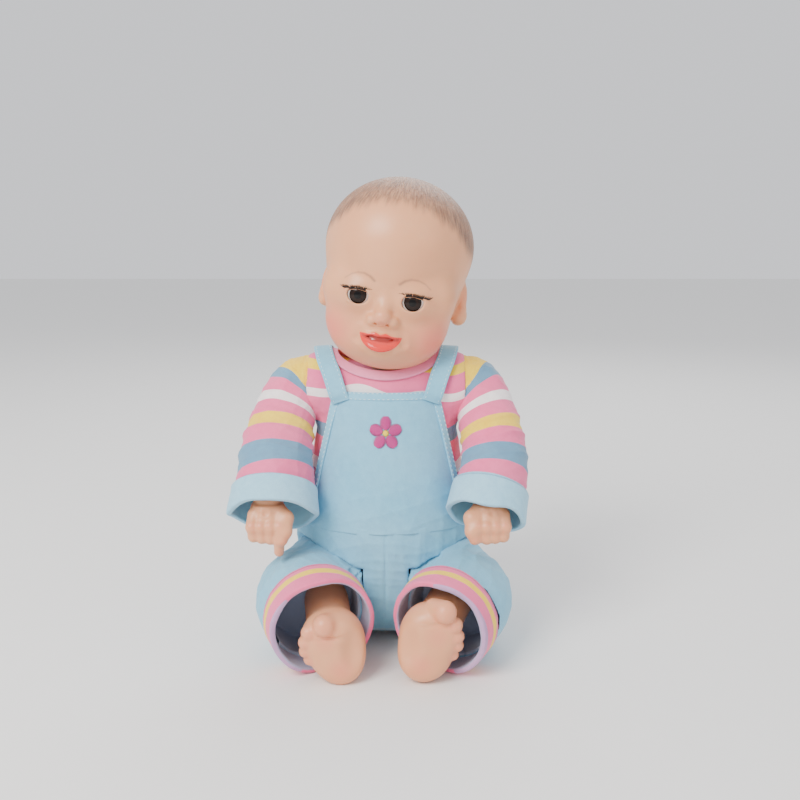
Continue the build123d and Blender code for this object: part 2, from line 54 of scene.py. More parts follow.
FINE = 0.75      # finest cell of the modelled surfaces, in millimetres
BLOCK = 4                                   # cells along one side of a coarse block


# ---- distances to soft shapes, in millimetres ------------------------------------------------
def V(*a):
    return np.array(a, float)


def length(p):
    return np.sqrt((p * p).sum(-1))


def smin(a, b, k):
    """The smaller distance, blended over k."""
    h = np.clip(0.5 + 0.5 * (b - a) / k, 0, 1)
    return b + (a - b) * h - k * h * (1 - h)


def smax(a, b, k):
    return -smin(-a, -b, k)


def ellipsoid(p, c, r):
    q = p - V(*c)
    k0 = length(q / V(*r))
    k1 = length(q / V(*r) ** 2) + 1e-9
    return k0 * (k0 - 1) / k1


def ball(p, c, r):
    return length(p - V(*c)) - r


def bone(p, a, b, ra, rb):
    a, b = V(*a), V(*b)
    h = np.clip(((p - a) @ (b - a)) / ((b - a) @ (b - a)), 0, 1)
    return length(p - a - h[..., None] * (b - a)) - (ra + (rb - ra) * h)


def chain(p, points, radii, k=0.6):
    """Round bones end to end."""
    d = bone(p, points[0], points[1], radii[0], radii[1])
    for i in range(1, len(points) - 1):
        d = smin(d, bone(p, points[i], points[i + 1], radii[i], radii[i + 1]), k)
    return d


def bump(x, centre, width):
    return np.exp(-((x - centre) / width) ** 2)


def spline(points, n):
    """A smooth line of n rows through rows of numbers."""
    p = np.asarray(points, float)
    p = np.vstack([2 * p[0] - p[1], p, 2 * p[-1] - p[-2]])
    t = np.linspace(0, len(p) - 3 - 1e-6, n)
    i = t.astype(int)
    f = (t - i)[:, None]
    a, b, c, d = p[i], p[i + 1], p[i + 2], p[i + 3]
    return 0.5 * (2 * b + (c - a) * f + (2 * a - 5 * b + 4 * c - d) * f ** 2
                  + (3 * b - a - 3 * c + d) * f ** 3)


def tube(p, path):
    """Distance to a round tube given as rows of x, y, z, radius; how far along it, and the angle round it."""
    best = np.full(len(p), 1e9)
    total, weights, angle, run = np.zeros(len(p)), np.full(len(p), 1e-12), np.zeros(len(p)), 0.0
    for a, b in zip(path[:-1], path[1:]):
        ab = b[:3] - a[:3]
        size = np.linalg.norm(ab)
        h = np.clip(((p - a[:3]) @ ab) / size ** 2, 0, 1)
        v = p - a[:3] - h[:, None] * ab
        d = length(v) - (a[3] + (b[3] - a[3]) * h)
        side = np.cross(ab / size, V(1, 0, 0))
        near = d < best
        best = np.where(near, d, best)
        share = np.exp(-np.clip(d, -30, 60) / 2.5)
        total += share * (run + h * size)
        weights += share
        angle = np.where(near, np.arctan2(v @ side, v[:, 0]), angle)
        run += size
    return best, total / weights, angle


def step(x, a, b):
    t = np.clip((x - a) / (b - a), 0, 1)
    return t * t * (3 - 2 * t)


# ---- turning a distance into a mesh ----------------------------------------------------------
def skin(f, lo, hi, cell):
    """The zero surface of f as quads, by surface nets on a band of cells, then pulled onto f."""
    lo, hi = V(*lo), V(*hi)
    blocks = np.ceil((hi - lo) / (BLOCK * cell)).astype(int)
    n = blocks * BLOCK + 1
    grid = np.stack(np.meshgrid(*[np.arange(b) for b in blocks], indexing="ij"), -1)
    coarse = f((lo + (grid + 0.5) * BLOCK * cell).reshape(-1, 3)).reshape(blocks)
    near = np.abs(coarse) < BLOCK * cell * 1.5
    values = np.ones(n)
    inside = np.where(coarse < 0, -1.0, 1.0)
    values[:-1, :-1, :-1] = inside.repeat(BLOCK, 0).repeat(BLOCK, 1).repeat(BLOCK, 2)
    mark = np.zeros(n, bool)
    for i, j, k in np.argwhere(near):
        mark[tuple(slice(BLOCK * a, BLOCK * a + BLOCK + 1) for a in (i, j, k))] = True
    where = np.argwhere(mark)
    values[mark] = f(lo + where * cell)
    s = values < 0
    corners = [(i, j, k) for i in (0, 1) for j in (0, 1) for k in (0, 1)]
    total = sum(s[i:n[0] - 1 + i, j:n[1] - 1 + j, k:n[2] - 1 + k].astype(int) for i, j, k in corners)
    active = (total > 0) & (total < 8)
    number = -np.ones(active.shape, int)
    cells = np.argwhere(active)
    number[active] = np.arange(len(cells))
    acc, cnt = np.zeros((len(cells), 3)), np.zeros(len(cells))
    for a in corners:
        for axis in range(3):
            if a[axis]:
                continue
            b = list(a)
            b[axis] = 1
            va = values[tuple((cells + a).T)]
            vb = values[tuple((cells + b).T)]
            cross = (va < 0) != (vb < 0)
            t = np.where(cross, va / np.where(cross, va - vb, 1), 0)
            point = np.array(a, float) + t[:, None] * (np.array(b) - np.array(a))
            acc += point * cross[:, None]
            cnt += cross
    verts = lo + (cells + acc / cnt[:, None]) * cell
    quads = []
    for axis in range(3):
        u, w = (axis + 1) % 3, (axis + 2) % 3
        a_idx, b_idx = [slice(1, -1)] * 3, [slice(1, -1)] * 3
        a_idx[axis], b_idx[axis] = slice(0, -1), slice(1, None)
        sa, sb = s[tuple(a_idx)], s[tuple(b_idx)]
        for flip in (False, True):
            edge = np.argwhere((sa & ~sb) if not flip else (~sa & sb))
            edge[:, u] += 1
            edge[:, w] += 1
            ring = []
            for du, dw in ((0, 0), (-1, 0), (-1, -1), (0, -1)):
                c = edge.copy()
                c[:, u] += du
                c[:, w] += dw
                ring.append(number[tuple(c.T)])
            quad = np.stack(ring, 1)
            quads.append(quad if not flip else quad[:, ::-1])
    return settle(f, verts, cell), np.concatenate(quads)


def settle(f, verts, reach, rounds=3):
    """Moves points along the slope of f until they lie on it."""
    e = 0.25
    taps = e * np.array([(1, -1, -1), (-1, -1, 1), (-1, 1, -1), (1, 1, 1)], float)
    for _ in range(rounds):
        d = f(verts)
        g = sum(t * f(verts + t)[:, None] for t in taps) / (4 * e * e)
        g2 = np.maximum((g * g).sum(1), 0.25)
        move = -(d / g2)[:, None] * g
        size = length(move)[:, None]
        verts = verts + move * np.minimum(1, 0.6 * reach / np.maximum(size, 1e-9))
    return verts


def shell(front, back):
    """A closed mesh between two grids of points of the same size."""
    n, m = front.shape[:2]

    def at(i, j, k):
        return (k * n + i) * m + j

    faces = []
    for i in range(n - 1):
        for j in range(m - 1):
            faces.append([at(i, j, 0), at(i + 1, j, 0), at(i + 1, j + 1, 0), at(i, j + 1, 0)])
            faces.append([at(i, j, 1), at(i, j + 1, 1), at(i + 1, j + 1, 1), at(i + 1, j, 1)])
    rim = [(i, 0) for i in range(n)] + [(n - 1, j) for j in range(1, m)]
    rim += [(i, m - 1) for i in range(n - 2, -1, -1)] + [(0, j) for j in range(m - 2, 0, -1)]
    for a, b in zip(rim, rim[1:] + rim[:1]):
        faces.append([at(*a, 0), at(*a, 1), at(*b, 1), at(*b, 0)])
    return np.concatenate([front.reshape(-1, 3), back.reshape(-1, 3)]), faces


def sweep(path, ups, section, closed=False):
    """A section of (side, height) points carried along a path, its height towards ups."""
    path, ups = np.asarray(path, float), np.asarray(ups, float)
    tangent = np.roll(path, -1, 0) - np.roll(path, 1, 0) if closed else np.gradient(path, axis=0)
    tangent /= length(tangent)[:, None]
    ups = ups - (ups * tangent).sum(1, keepdims=True) * tangent
    ups /= length(ups)[:, None]
    side = np.cross(tangent, ups)
    section = np.asarray(section, float)
    if section.ndim == 2:
        section = section[None]
    rings = path[:, None] + side[:, None] * section[..., :1] + ups[:, None] * section[..., 1:]
    n, m = rings.shape[:2]
    faces = []
    for i in range(n if closed else n - 1):
        k = (i + 1) % n
        faces += [[i * m + j, i * m + (j + 1) % m, k * m + (j + 1) % m, k * m + j] for j in range(m)]
    if not closed:
        faces += [list(range(m))[::-1], [(n - 1) * m + j for j in range(m)]]
    return rings.reshape(-1, 3), faces


def band(width, thick):
    """A rounded flat section lying on height 0."""
    a = np.linspace(0, 2 * np.pi, 28, endpoint=False)
    c, s = np.cos(a), np.sin(a)
    x = width / 2 * np.sign(c) * np.abs(c) ** 0.3
    y = thick / 2 * (1 + np.sign(s) * np.abs(s) ** 0.6)
    return np.stack([x, y], 1)


def stitches(path, ups):
    """Running stitches along a path: a list of (start, end, direction off the cloth)."""
    long, gap = 2.4, 1.3
    path, ups = np.asarray(path, float), np.asarray(ups, float)
    far = np.concatenate([[0], np.cumsum(length(np.diff(path, axis=0)))])
    found = []
    for start in np.arange(gap, far[-1] - long, long + gap):
        ends = [np.array([np.interp(x, far, path[:, k]) for k in range(3)]) for x in (start, start + long)]
        up = np.array([np.interp(start, far, ups[:, k]) for k in range(3)])
        found.append((*ends, up / np.linalg.norm(up)))
    return found


def threads(name, lines, radius, material, sink=0.8):
    """Short threads that rise from the cloth and dive back into it."""
    verts, faces = [], []
    sides = 6
    ring = np.linspace(0, 2 * np.pi, sides, endpoint=False)
    size = radius * np.array([0.35, 0.95, 1.0, 0.95, 0.35])
    section = np.stack([np.cos(ring)[None] * size[:, None], np.sin(ring)[None] * size[:, None]], 2)
    rise = np.array([-sink, 0.35, 0.6, 0.35, -sink]) * radius
    for a, b, up in lines:
        line = a + np.linspace(0, 1, len(rise))[:, None] * (b - a) + up * rise[:, None]
        v, f = sweep(line, np.tile(up, (len(rise), 1)), section)
        faces += [[i + sides * len(rise) * len(verts) for i in q] for q in f]
        verts.append(v)
    return piece(name, np.concatenate(verts), faces, material)


def slope(f, p):
    """The outward direction of f at each point."""
    e = 0.4
    g = np.stack([f(p + e * V(*k)) - f(p - e * V(*k)) for k in ((1, 0, 0), (0, 1, 0), (0, 0, 1))], 1)
    return g / np.maximum(length(g), 1e-9)[:, None]


def piece(name, verts, faces, material, place=None, marks=None):
    """An object from millimetre points, with optional number fields per point."""
    world = verts if place is None else verts @ place[0].T + place[1]
    mesh = bpy.data.meshes.new(name)
    mesh.from_pydata((world * MM).tolist(), [], [list(map(int, q)) for q in faces])
    bm = bmesh.new()
    bm.from_mesh(mesh)
    bmesh.ops.recalc_face_normals(bm, faces=bm.faces)
    bm.to_mesh(mesh)
    bm.free()
    for key, value in (marks or {}).items():
        value = np.asarray(value, float)
        kind = "FLOAT" if value.ndim == 1 else "FLOAT_VECTOR"
        layer = mesh.attributes.new(key, kind, "POINT")
        layer.data.foreach_set("value" if value.ndim == 1 else "vector", value.ravel())
    mesh.polygons.foreach_set("use_smooth", [True] * len(mesh.polygons))
    mesh.validate()
    obj = bpy.data.objects.new(name, mesh)
    bpy.context.scene.collection.objects.link(obj)
    mesh.materials.append(material)
    return obj


def put(obj, body, nodes=()):
    """Rides on a body and stands for CAD nodes."""
    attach(obj, body)
    if nodes:
        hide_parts(*nodes)


def refine(verts, faces, where, f):
    """Splits the faces whose points satisfy where, and settles the new points on f."""
    bm = bmesh.new()
    points = [bm.verts.new(v) for v in verts]
    for q in faces:
        bm.faces.new([points[i] for i in q])
    chosen = where(verts)
    bm.verts.index_update()
    edges = [e for e in bm.edges if chosen[e.verts[0].index] and chosen[e.verts[1].index]]
    bmesh.ops.subdivide_edges(bm, edges=edges, cuts=1, use_grid_fill=True)
    bm.verts.index_update()
    split = np.array([v.co[:] for v in bm.verts])
    polys = [[v.index for v in p.verts] for p in bm.faces]
    bm.free()
    return settle(f, split, 1.0), polys


# ---- where things are --------------------------------------------------------------------
left_eye, right_eye = (V(*joints[f"eye_close_{s}"]["pos_m"]) * 1000 for s in ("left", "right"))
neck = V(*joints["head_tilt"]["pos_m"]) * 1000
EYE_BACK, EYE_UP = -48.5, 48.0
head_x = (left_eye - right_eye) / np.linalg.norm(left_eye - right_eye)
toward_eyes = (left_eye + right_eye) / 2 - neck
toward_eyes /= np.linalg.norm(toward_eyes)
square = np.cross(head_x, toward_eyes)
reach = math.hypot(EYE_BACK, EYE_UP)
head_y = toward_eyes * EYE_BACK / reach - square * EYE_UP / reach
head_z = toward_eyes * EYE_UP / reach + square * EYE_BACK / reach
HEAD = (np.stack([head_x, head_y, head_z], 1), neck)
EYE_X = float(np.linalg.norm(left_eye - right_eye)) / 2


# ---- materials -----------------------------------------------------------------------------
def material(name, rough, **sockets):
    """A principled material; the sockets' names are written with underscores."""
    m = bpy.data.materials.new(name)
    m.use_nodes = True
    shader = m.node_tree.nodes["Principled BSDF"]
    shader.inputs["Roughness"].default_value = rough
    for key, value in sockets.items():
        shader.inputs[key.replace("_", " ")].default_value = value
    return m


def node(m, kind, links=None, **settings):
    """A shader node with its linked sockets, and its settings or plain socket values."""
    n = m.node_tree.nodes.new("ShaderNode" + kind)
    for key, value in settings.items():
        if hasattr(n, key):
            setattr(n, key, value)
        else:
            n.inputs[key.replace("_", " ")].default_value = value
    for socket, source in (links or {}).items():
        m.node_tree.links.new(source, n.inputs[socket])
    return n


def mix(m, fac, a, b, blend="MIX"):
    """A colour mix whose inputs are sockets or plain colours."""
    n = m.node_tree.nodes.new("ShaderNodeMix")
    n.data_type = "RGBA"
    n.blend_type = blend
    for index, value in ((0, fac), (6, a), (7, b)):
        if isinstance(value, bpy.types.NodeSocket):
            m.node_tree.links.new(value, n.inputs[index])
        elif index == 0:
            n.inputs[0].default_value = value
        else:
            n.inputs[index].default_value = (*value, 1)
    return n.outputs[2]


def out(m, socket, source):
    """Links a source to a socket of the principled shader."""
    m.node_tree.links.new(source, m.node_tree.nodes["Principled BSDF"].inputs[socket])


def coords(m, scale=(1, 1, 1)):
    where = node(m, "TexCoord").outputs["Object"]
    return node(m, "Mapping", {"Vector": where}, Scale=scale).outputs[0]


def field(m, name):
    """A number that the mesh carries at each point."""
    return node(m, "Attribute", attribute_name=name).outputs["Fac"]


def relief(m, heights):
    """Chained bumps: (height socket, strength)."""
    normal = None
    for height, strength in heights:
        b = node(m, "Bump", {"Height": height}, Strength=strength, Distance=0.4 * MM)
        if normal is not None:
            m.node_tree.links.new(normal, b.inputs["Normal"])
        normal = b.outputs[0]
    out(m, "Normal", normal)


def ramp(m, source, stops, mode="LINEAR"):
    """Colours picked by a number, from (place, colour) stops."""
    n = node(m, "ValToRGB", {"Fac": source})
    n.color_ramp.interpolation = mode
    e = n.color_ramp.elements
    while len(e) < len(stops):
        e.new(0.5)
    for element, (at, colour) in zip(e, stops):
        element.position = at
        element.color = (*colour, 1)
    return n.outputs[0]


def grey(v):
    return (v, v, v)


SKIN, SKIN_DEEP = (0.78, 0.37, 0.19), (0.66, 0.27, 0.12)
PINK, YELLOW, SLATE, WHITE = (0.90, 0.14, 0.32), (0.95, 0.66, 0.03), (0.12, 0.30, 0.45), (0.92, 0.88, 0.86)
SKY, SKY_DARK, MAGENTA = (0.20, 0.52, 0.70), (0.20, 0.44, 0.60), (0.52, 0.02, 0.22)


def vinyl(name, face=False):
    """Soft matt vinyl, sprayed with blush; the face also has combed hair, brows, glossier lips and painted
    shade in the gap between the lips.
    """
    m = material(name, 0.42, Subsurface_Weight=0.18, Subsurface_Scale=0.006, Coat_Weight=0.08,
                 Coat_Roughness=0.35)
    m.node_tree.nodes["Principled BSDF"].inputs["Subsurface Radius"].default_value = (1.0, 0.35, 0.2)
    large = node(m, "TexNoise", {"Vector": coords(m)}, Scale=28, Detail=3).outputs["Fac"]
    fine = node(m, "TexNoise", {"Vector": coords(m)}, Scale=900, Detail=4).outputs["Fac"]
    colour = mix(m, ramp(m, large, [(0.3, grey(0)), (0.75, grey(0.45))]), SKIN, SKIN_DEEP)
    colour = mix(m, field(m, "blush"), colour, (0.82, 0.17, 0.13))
    heights = [(fine, 0.06)]
    if face:
        hair = field(m, "hair")
        strand = node(m, "Attribute", attribute_name="comb").outputs["Vector"]
        combed = node(m, "TexNoise", {"Vector": strand}, Scale=1.0, Detail=5, Roughness=0.65).outputs["Fac"]
        lines = ramp(m, combed, [(0.40, grey(0)), (0.62, grey(1))])
        tint = mix(m, lines, (0.44, 0.22, 0.12), (0.19, 0.085, 0.045))
        colour = mix(m, hair, colour, tint)
        colour = mix(m, field(m, "brow"), colour, (0.26, 0.12, 0.07))
        colour = mix(m, field(m, "lip"), colour, (0.76, 0.035, 0.022))
        # painted shade: the lips turn near black red along the gap cut between them
        colour = mix(m, field(m, "mouth_shade"), colour, (0.28, 0.02, 0.015))
        gated = node(m, "Math", {0: lines, 1: hair}, operation="MULTIPLY").outputs[0]
        heights.append((gated, 0.5))
        gloss = node(m, "MapRange", {"Value": field(m, "lip")}).outputs[0]
        gloss.node.inputs["To Min"].default_value = 0.42
        gloss.node.inputs["To Max"].default_value = 0.22
        out(m, "Roughness", gloss)
    out(m, "Base Color", colour)
    relief(m, heights)
    return m


def cloth(name, base, dark, stripes=None, inner_shade=None, nap=0.25):
    """Fine knit: rows and loops at about a millimetre, a soft nap and wandering shade, with painted shade in
    the dimples between the loops and, where an inner colour is given, on the inner faces.
    """
    m = material(name, 0.88, Sheen_Weight=nap, Sheen_Roughness=0.45)
    m.node_tree.nodes["Principled BSDF"].inputs["Sheen Tint"].default_value = (1, 1, 1, 1)
    wave = node(m, "TexWave", {"Vector": coords(m)}, Scale=420, Distortion=3.0, Detail=2, bands_direction="Z")
    rows = wave.outputs["Fac"]
    loops = node(m, "TexVoronoi", {"Vector": coords(m, (1, 1, 1.6))}, Scale=1500).outputs["Distance"]
    fuzz = node(m, "TexNoise", {"Vector": coords(m)}, Scale=160, Detail=6, Roughness=0.7).outputs["Fac"]
    shade = node(m, "TexNoise", {"Vector": coords(m)}, Scale=22, Detail=2).outputs["Fac"]
    if stripes:
        ground = ramp(m, field(m, "t"), stripes, "CONSTANT")
    else:
        ground = mix(m, 1.0, base, base)
    napped, faded, loop_gap_shade = (ramp(m, source, [(low, grey(a)), (high, grey(b))]) for source, low, a, high, b in (
        (fuzz, 0.35, 0, 0.75, 0.32), (shade, 0.3, 0, 0.8, 0.14), (loops, 0.0, 0.16, 0.6, 0)))
    wear_and_shade = mix(m, napped, ground, mix(m, 0.75, ground, dark, "MULTIPLY"))
    wear_and_shade = mix(m, faded, wear_and_shade, mix(m, 0.5, wear_and_shade, WHITE))
    # painted shade: darkens the knit in the small dimples where the loops' bump sinks
    wear_and_shade = mix(m, loop_gap_shade, wear_and_shade, mix(m, 1.0, wear_and_shade, dark, "MULTIPLY"))
    if inner_shade:
        # painted shade: a darker, greyer colour on the inner faces of the openings
        wear_and_shade = mix(m, field(m, "inside"), wear_and_shade, inner_shade)
    stitch = field(m, "stitch")
    wear_and_shade = mix(m, stitch, wear_and_shade, mix(m, 1.0, wear_and_shade, (0.45, 0.5, 0.6), "MULTIPLY"))
    out(m, "Base Color", wear_and_shade)
    relief(m, [(loops, 0.25), (rows, 0.10), (fuzz, 0.22), (stitch, 0.35)])
    return m


def plain(name, colour, rough, metal=0.0, scale=300, strength=0.12, vary=0.72, **sockets):
    """Moulded plastic or metal with a fine grain and uneven shine."""
    m = material(name, rough, Metallic=metal, **sockets)
    grain = node(m, "TexNoise", {"Vector": coords(m)}, Scale=scale, Detail=5).outputs["Fac"]
    broad = node(m, "TexNoise", {"Vector": coords(m)}, Scale=40, Detail=2).outputs["Fac"]
    darker = tuple(vary * c for c in colour)
    out(m, "Base Color", mix(m, ramp(m, broad, [(0.35, grey(0)), (0.8, grey(0.6))]), colour, darker))
    uneven = ramp(m, grain, [(0.2, grey(max(rough - 0.1, 0.02))), (0.8, grey(min(rough + 0.12, 1)))])
    out(m, "Roughness", uneven)
    relief(m, [(grain, strength)])
    return m


face_skin = vinyl("vinyl_face", True)
limb_skin = vinyl("vinyl_limbs")
# the colours for inner faces given below are painted shade, darker and greyer than the cloth outside
sky_cloth = cloth("dungaree_jersey", SKY, SKY_DARK, inner_shade=(0.34, 0.42, 0.56))
binding_cloth = cloth("dungaree_binding", (0.21, 0.55, 0.73), SKY_DARK)
cuff_cloth = cloth("cuff_knit", (0.34, 0.64, 0.80), SKY_DARK, inner_shade=(0.20, 0.47, 0.62))
SLEEVE_STRIPES = [(0.0, YELLOW), (0.10, SLATE), (0.17, PINK), (0.29, WHITE), (0.38, PINK), (0.50, YELLOW),
                  (0.61, PINK), (0.75, SLATE), (0.88, PINK)]
CHEST_STRIPES = [(0.0, PINK), (0.30, WHITE), (0.37, PINK), (0.50, SLATE), (0.58, PINK), (0.745, WHITE),
                 (0.795, PINK), (0.90, YELLOW), (0.955, PINK)]
CUFF_STRIPES = [(0.0, PINK), (0.34, YELLOW), (0.56, PINK), (0.84, (0.50, 0.30, 0.52))]
sleeve_cloth = cloth("shirt_sleeves", PINK, (0.7, 0.35, 0.5), SLEEVE_STRIPES)
shirt_cloth = cloth("shirt_knit", PINK, (0.7, 0.35, 0.5), CHEST_STRIPES)
turned_cloth = cloth("turned_cuff", PINK, (0.7, 0.35, 0.5), CUFF_STRIPES, inner_shade=(0.36, 0.36, 0.52))
collar_cloth = cloth("shirt_collar", (0.86, 0.24, 0.42), (0.7, 0.35, 0.5))
body_fabric = cloth("body_fabric", (0.78, 0.60, 0.42), (0.7, 0.55, 0.45), nap=0.2)
pale_thread = plain("pale_thread", (0.62, 0.82, 0.90), 0.6, scale=2500, strength=0.5, Sheen_Weight=0.4)
dark_thread = plain("dark_thread", MAGENTA, 0.5, scale=2500, strength=0.5, Sheen_Weight=0.4)
eye_white = plain("eye_white", (0.84, 0.82, 0.78), 0.12, scale=60, strength=0.02, Coat_Weight=1.0)
lash_hair = plain("lash_hair", (0.006, 0.004, 0.004), 0.38, scale=3000, strength=0.3)

# ---- head ----------------------------------------------------------------------------------
EYE = (EYE_X, EYE_BACK, EYE_UP)
MOUTH = 15.2
LIP_X = np.linspace(-MOUTH, MOUTH, 23)
ROUND = np.sqrt(1 - (LIP_X / (MOUTH + 0.3)) ** 2)
LIP_Y = -54.4 - 7.6 * ROUND
UPPER_LIP = np.stack([LIP_X, LIP_Y, 20.2 + 1.1 * np.exp(-((np.abs(LIP_X) - 4.2) / 3.2) ** 2)], 1)
UPPER_R = 0.4 + 1.0 * ROUND
LOWER_LIP = np.stack([LIP_X, LIP_Y + 0.6, 20.0 - 9.6 * ROUND ** 1.3], 1)
LOWER_R = 0.3 + 1.9 * ROUND ** 2


def mirrored(p):
    return np.concatenate([np.abs(p[:, :1]), p[:, 1:]], 1)


def ear(q):
    """One ear on the +x side: a shallow dish with a rolled rim and a lobe."""
    turn = math.radians(-17)
    r = q - V(51.2, 2, 43)
    r = np.stack([r[:, 0] * math.cos(turn) - r[:, 1] * math.sin(turn),
                  r[:, 0] * math.sin(turn) + r[:, 1] * math.cos(turn), r[:, 2]], 1)
    d = ellipsoid(r, (3.5, 4, 1), (5.2, 10, 16.5))
    d = smin(d, ball(r, (3, 0.5, -10.5), 5.2), 8)
    d = smax(d, -ellipsoid(r, (10.3, 3.2, 2.5), (5.5, 6.2, 11)), 1.8)
    d = smin(d, bone(r, (5.5, 5.5, 10), (5, 5.0, -6), 1.3, 1.0), 2.2)
    return smin(d, ball(r, (4.5, -4.5, -3), 1.8), 3)


def head_base(p):
    q = mirrored(p)
    d = ellipsoid(p, (0, 2, 82), (58.5, 63, 53.5))
    d = smin(d, ellipsoid(p, (0, -14, 37), (47.5, 43.5, 43)), 24)
    d = smin(d, ellipsoid(p, (0, -22, 88), (40, 41.5, 36)), 16)
    d = smin(d, ball(q, (24, -30, 24), 22), 12)
    return smin(d, ellipsoid(p, (0, -27.5, 12), (37.5, 28.5, 23)), 9)


def nose(p, q):
    d = chain(p, [(0, -54, 50), (0, -58.5, 42), (0, -62.8, 35)], [4, 4.6, 6.8], 2)
    return smin(d, ball(q, (7.6, -60.5, 31.6), 4.2), 2.6)


def lips(p):
    return smin(chain(p, UPPER_LIP, UPPER_R), chain(p, LOWER_LIP, LOWER_R), 0.8)


def mouth_gap(p):
    line = [(-12.5, -58.6, 19.3), (-6, -62.4, 18.4), (0, -63.6, 18.0), (6, -62.4, 18.4), (12.5, -58.6, 19.3)]
    return chain(p, line, [0.4, 1.0, 1.1, 1.0, 0.4], 1.0)


def head_field(p):
    """The whole head: the face first, then the ears, the neck and the cuts from inside."""
    q = mirrored(p)
    d = head_base(p)
    d = smin(d, ellipsoid(p, (0, -51.5, 17), (19, 10.2, 12.5)), 10)
    d = smin(d, ball(q, (35, -36.5, 50), 15), 12)
    d = smax(d, -ellipsoid(q, (20.5, -78.5, 51), (14, 16, 11)), 12)
    lids = ellipsoid(q, EYE, (15.2, 13.7, 13.8))
    d = smin(d, lids, 8)
    d = smin(d, nose(p, q), 5)
    d = smax(d, -chain(q, [(4.4, -66, 27.6), (4.2, -61, 30.5)], [1.3, 1.0]), 1.6)
    d = smax(d, -bone(p, (0, -69.5, 28), (0, -67, 23.5), 2.3, 2.4), 3)
    d = smax(d, -bone(q, (16.5, -61, 21), (18, -58, 15.5), 2.2, 1.2), 5)
    d = smax(d, -bone(p, (-6, -63.5, 4.5), (6, -63.5, 4.5), 2.2, 2.2), 6)
    d = smin(d, lips(p), 1.6)
    d = smax(d, -mouth_gap(p), 1.0)
    d = smin(d, ellipsoid(p, (0, -57, 14.2), (10.5, 4.9, 4.6)), 0.6)
    d = smin(d, ear(q), 4)
    trunk = np.maximum(np.hypot(p[:, 0], p[:, 1]) - 26.5, np.abs(p[:, 2] - 8) - 17)
    d = smin(d, trunk, 5)
    throat = np.maximum(np.hypot(p[:, 0], p[:, 1]) - 23.8, np.abs(p[:, 2]) - 40)
    inner = smin(head_base(p) + 8.0, throat, 1)
    skull = smax(d, -inner, 1)
    rel = q - V(*EYE)
    opening = (np.sqrt((rel[:, 0] / 8.1) ** 2 + ((rel[:, 2] + 0.1 - 0.06 * rel[:, 0]) / 6.3) ** 2) - 1) * 6.3
    hole = np.maximum(opening, rel[:, 1] + 3)
    skull = smax(skull, -hole, 1.3)
    return smax(skull, -ball(q, EYE, 12.75), 0.4)


def head_marks(p):
    """What is sprayed or painted on the head: blush, hair, brows and lips, and painted shade in the gap
    between the lips.
    """
    q = mirrored(p)
    blush = 0.8 * np.exp(-(length((q - V(38, -38, 18)) * V(1, 0.7, 1)) / 17) ** 2)
    blush = np.maximum(blush, 0.5 * np.exp(-(length(q - V(EYE_X + 10.5, -54, 49)) / 3.2) ** 2))
    blush = np.maximum(blush, 0.25 * np.exp(-(length(p - V(0, -67, 33)) / 6) ** 2))
    blush = np.maximum(blush, 0.35 * np.exp(-(length(q - V(62, 4, 48)) / 10) ** 2))
    line = 113 - 0.55 * (p[:, 1] + 48) - 0.004 * p[:, 0] ** 2
    line = line + 1.8 * np.sin(p[:, 0] * 0.33) + 1.2 * np.sin(p[:, 0] * 0.9)
    hair = step(p[:, 2] - line, -4, 9) * step(p[:, 1], -64, -30) ** 0.3
    brow_line = [(9.5, 60.2), (13, 63.0), (17.5, 64.6), (22.5, 64.4), (27.5, 62.4), (32, 58.8)]
    flat = np.stack([q[:, 0], q[:, 2]], 1)
    brow = np.zeros(len(p))
    for i in range(5):
        a, b = V(*brow_line[i]), V(*brow_line[i + 1])
        h = np.clip(((flat - a) @ (b - a)) / ((b - a) @ (b - a)), 0, 1)
        off = length(flat - a - h[:, None] * (b - a))
        thick = 1.05 - 0.13 * i
        brow = np.maximum(brow, (0.66 - 0.07 * i) * np.exp(-(off / thick) ** 2))
    brow *= (p[:, 1] < -35)
    level = np.sqrt(np.clip(1 - (p[:, 0] / (MOUTH + 0.8)) ** 2, 0, 1))
    over = 20.5 + 1.5 * np.exp(-((np.abs(p[:, 0]) - 4.2) / 3.2) ** 2) * level + 0.9 * level - p[:, 2]
    under = p[:, 2] - (20.3 - 12.2 * level ** 1.2)
    lip = step(np.minimum(over, under), -0.3, 0.5) * (level > 0) * (p[:, 1] < -48)
    # painted shade: darkens the lips along the gap cut between them
    mouth_shade = 0.9 * (1 - step(mouth_gap(p), 0.5, 1.9)) * lip
    swirl = np.arctan2(p[:, 0], -(p[:, 1] - 28))
    rise = np.hypot(p[:, 0], p[:, 1] - 28)
    comb = np.stack([swirl * 58, rise * 0.12, p[:, 2] * 0.05], 1)
    return {"blush": blush, "hair": hair, "brow": brow, "lip": lip, "mouth_shade": mouth_shade, "comb": comb}


def build_head():
    cell = 1.15
    verts, faces = skin(head_field, (-72, -74, -16), (72, 70, 141), cell)
    chosen = lambda v: (v[:, 1] < -38) & (np.abs(v[:, 0]) < 40) & (v[:, 2] > 0) & (v[:, 2] < 70)
    verts, faces = refine(verts, faces, chosen, head_field)
    head = piece("head_vinyl", verts, faces, face_skin, HEAD, head_marks(verts))
    put(head, "head", ["head_shell"])


build_head()

# ---- eyes ----------------------------------------------------------------------------------
EYE_R, LID_UP = 12.0, math.radians(20)
LID_DOWN, LID_ACROSS = 1.75, 1.25
IRIS_ANGLE = 0.57
LASHES = 90


def on_ball(radius, across, up):
    """Points on a ball looking along -y, from angles across and up."""
    aim = np.stack([np.sin(across), -np.cos(across) * np.cos(up), np.cos(across) * np.sin(up)], -1)
    return radius[..., None] * aim


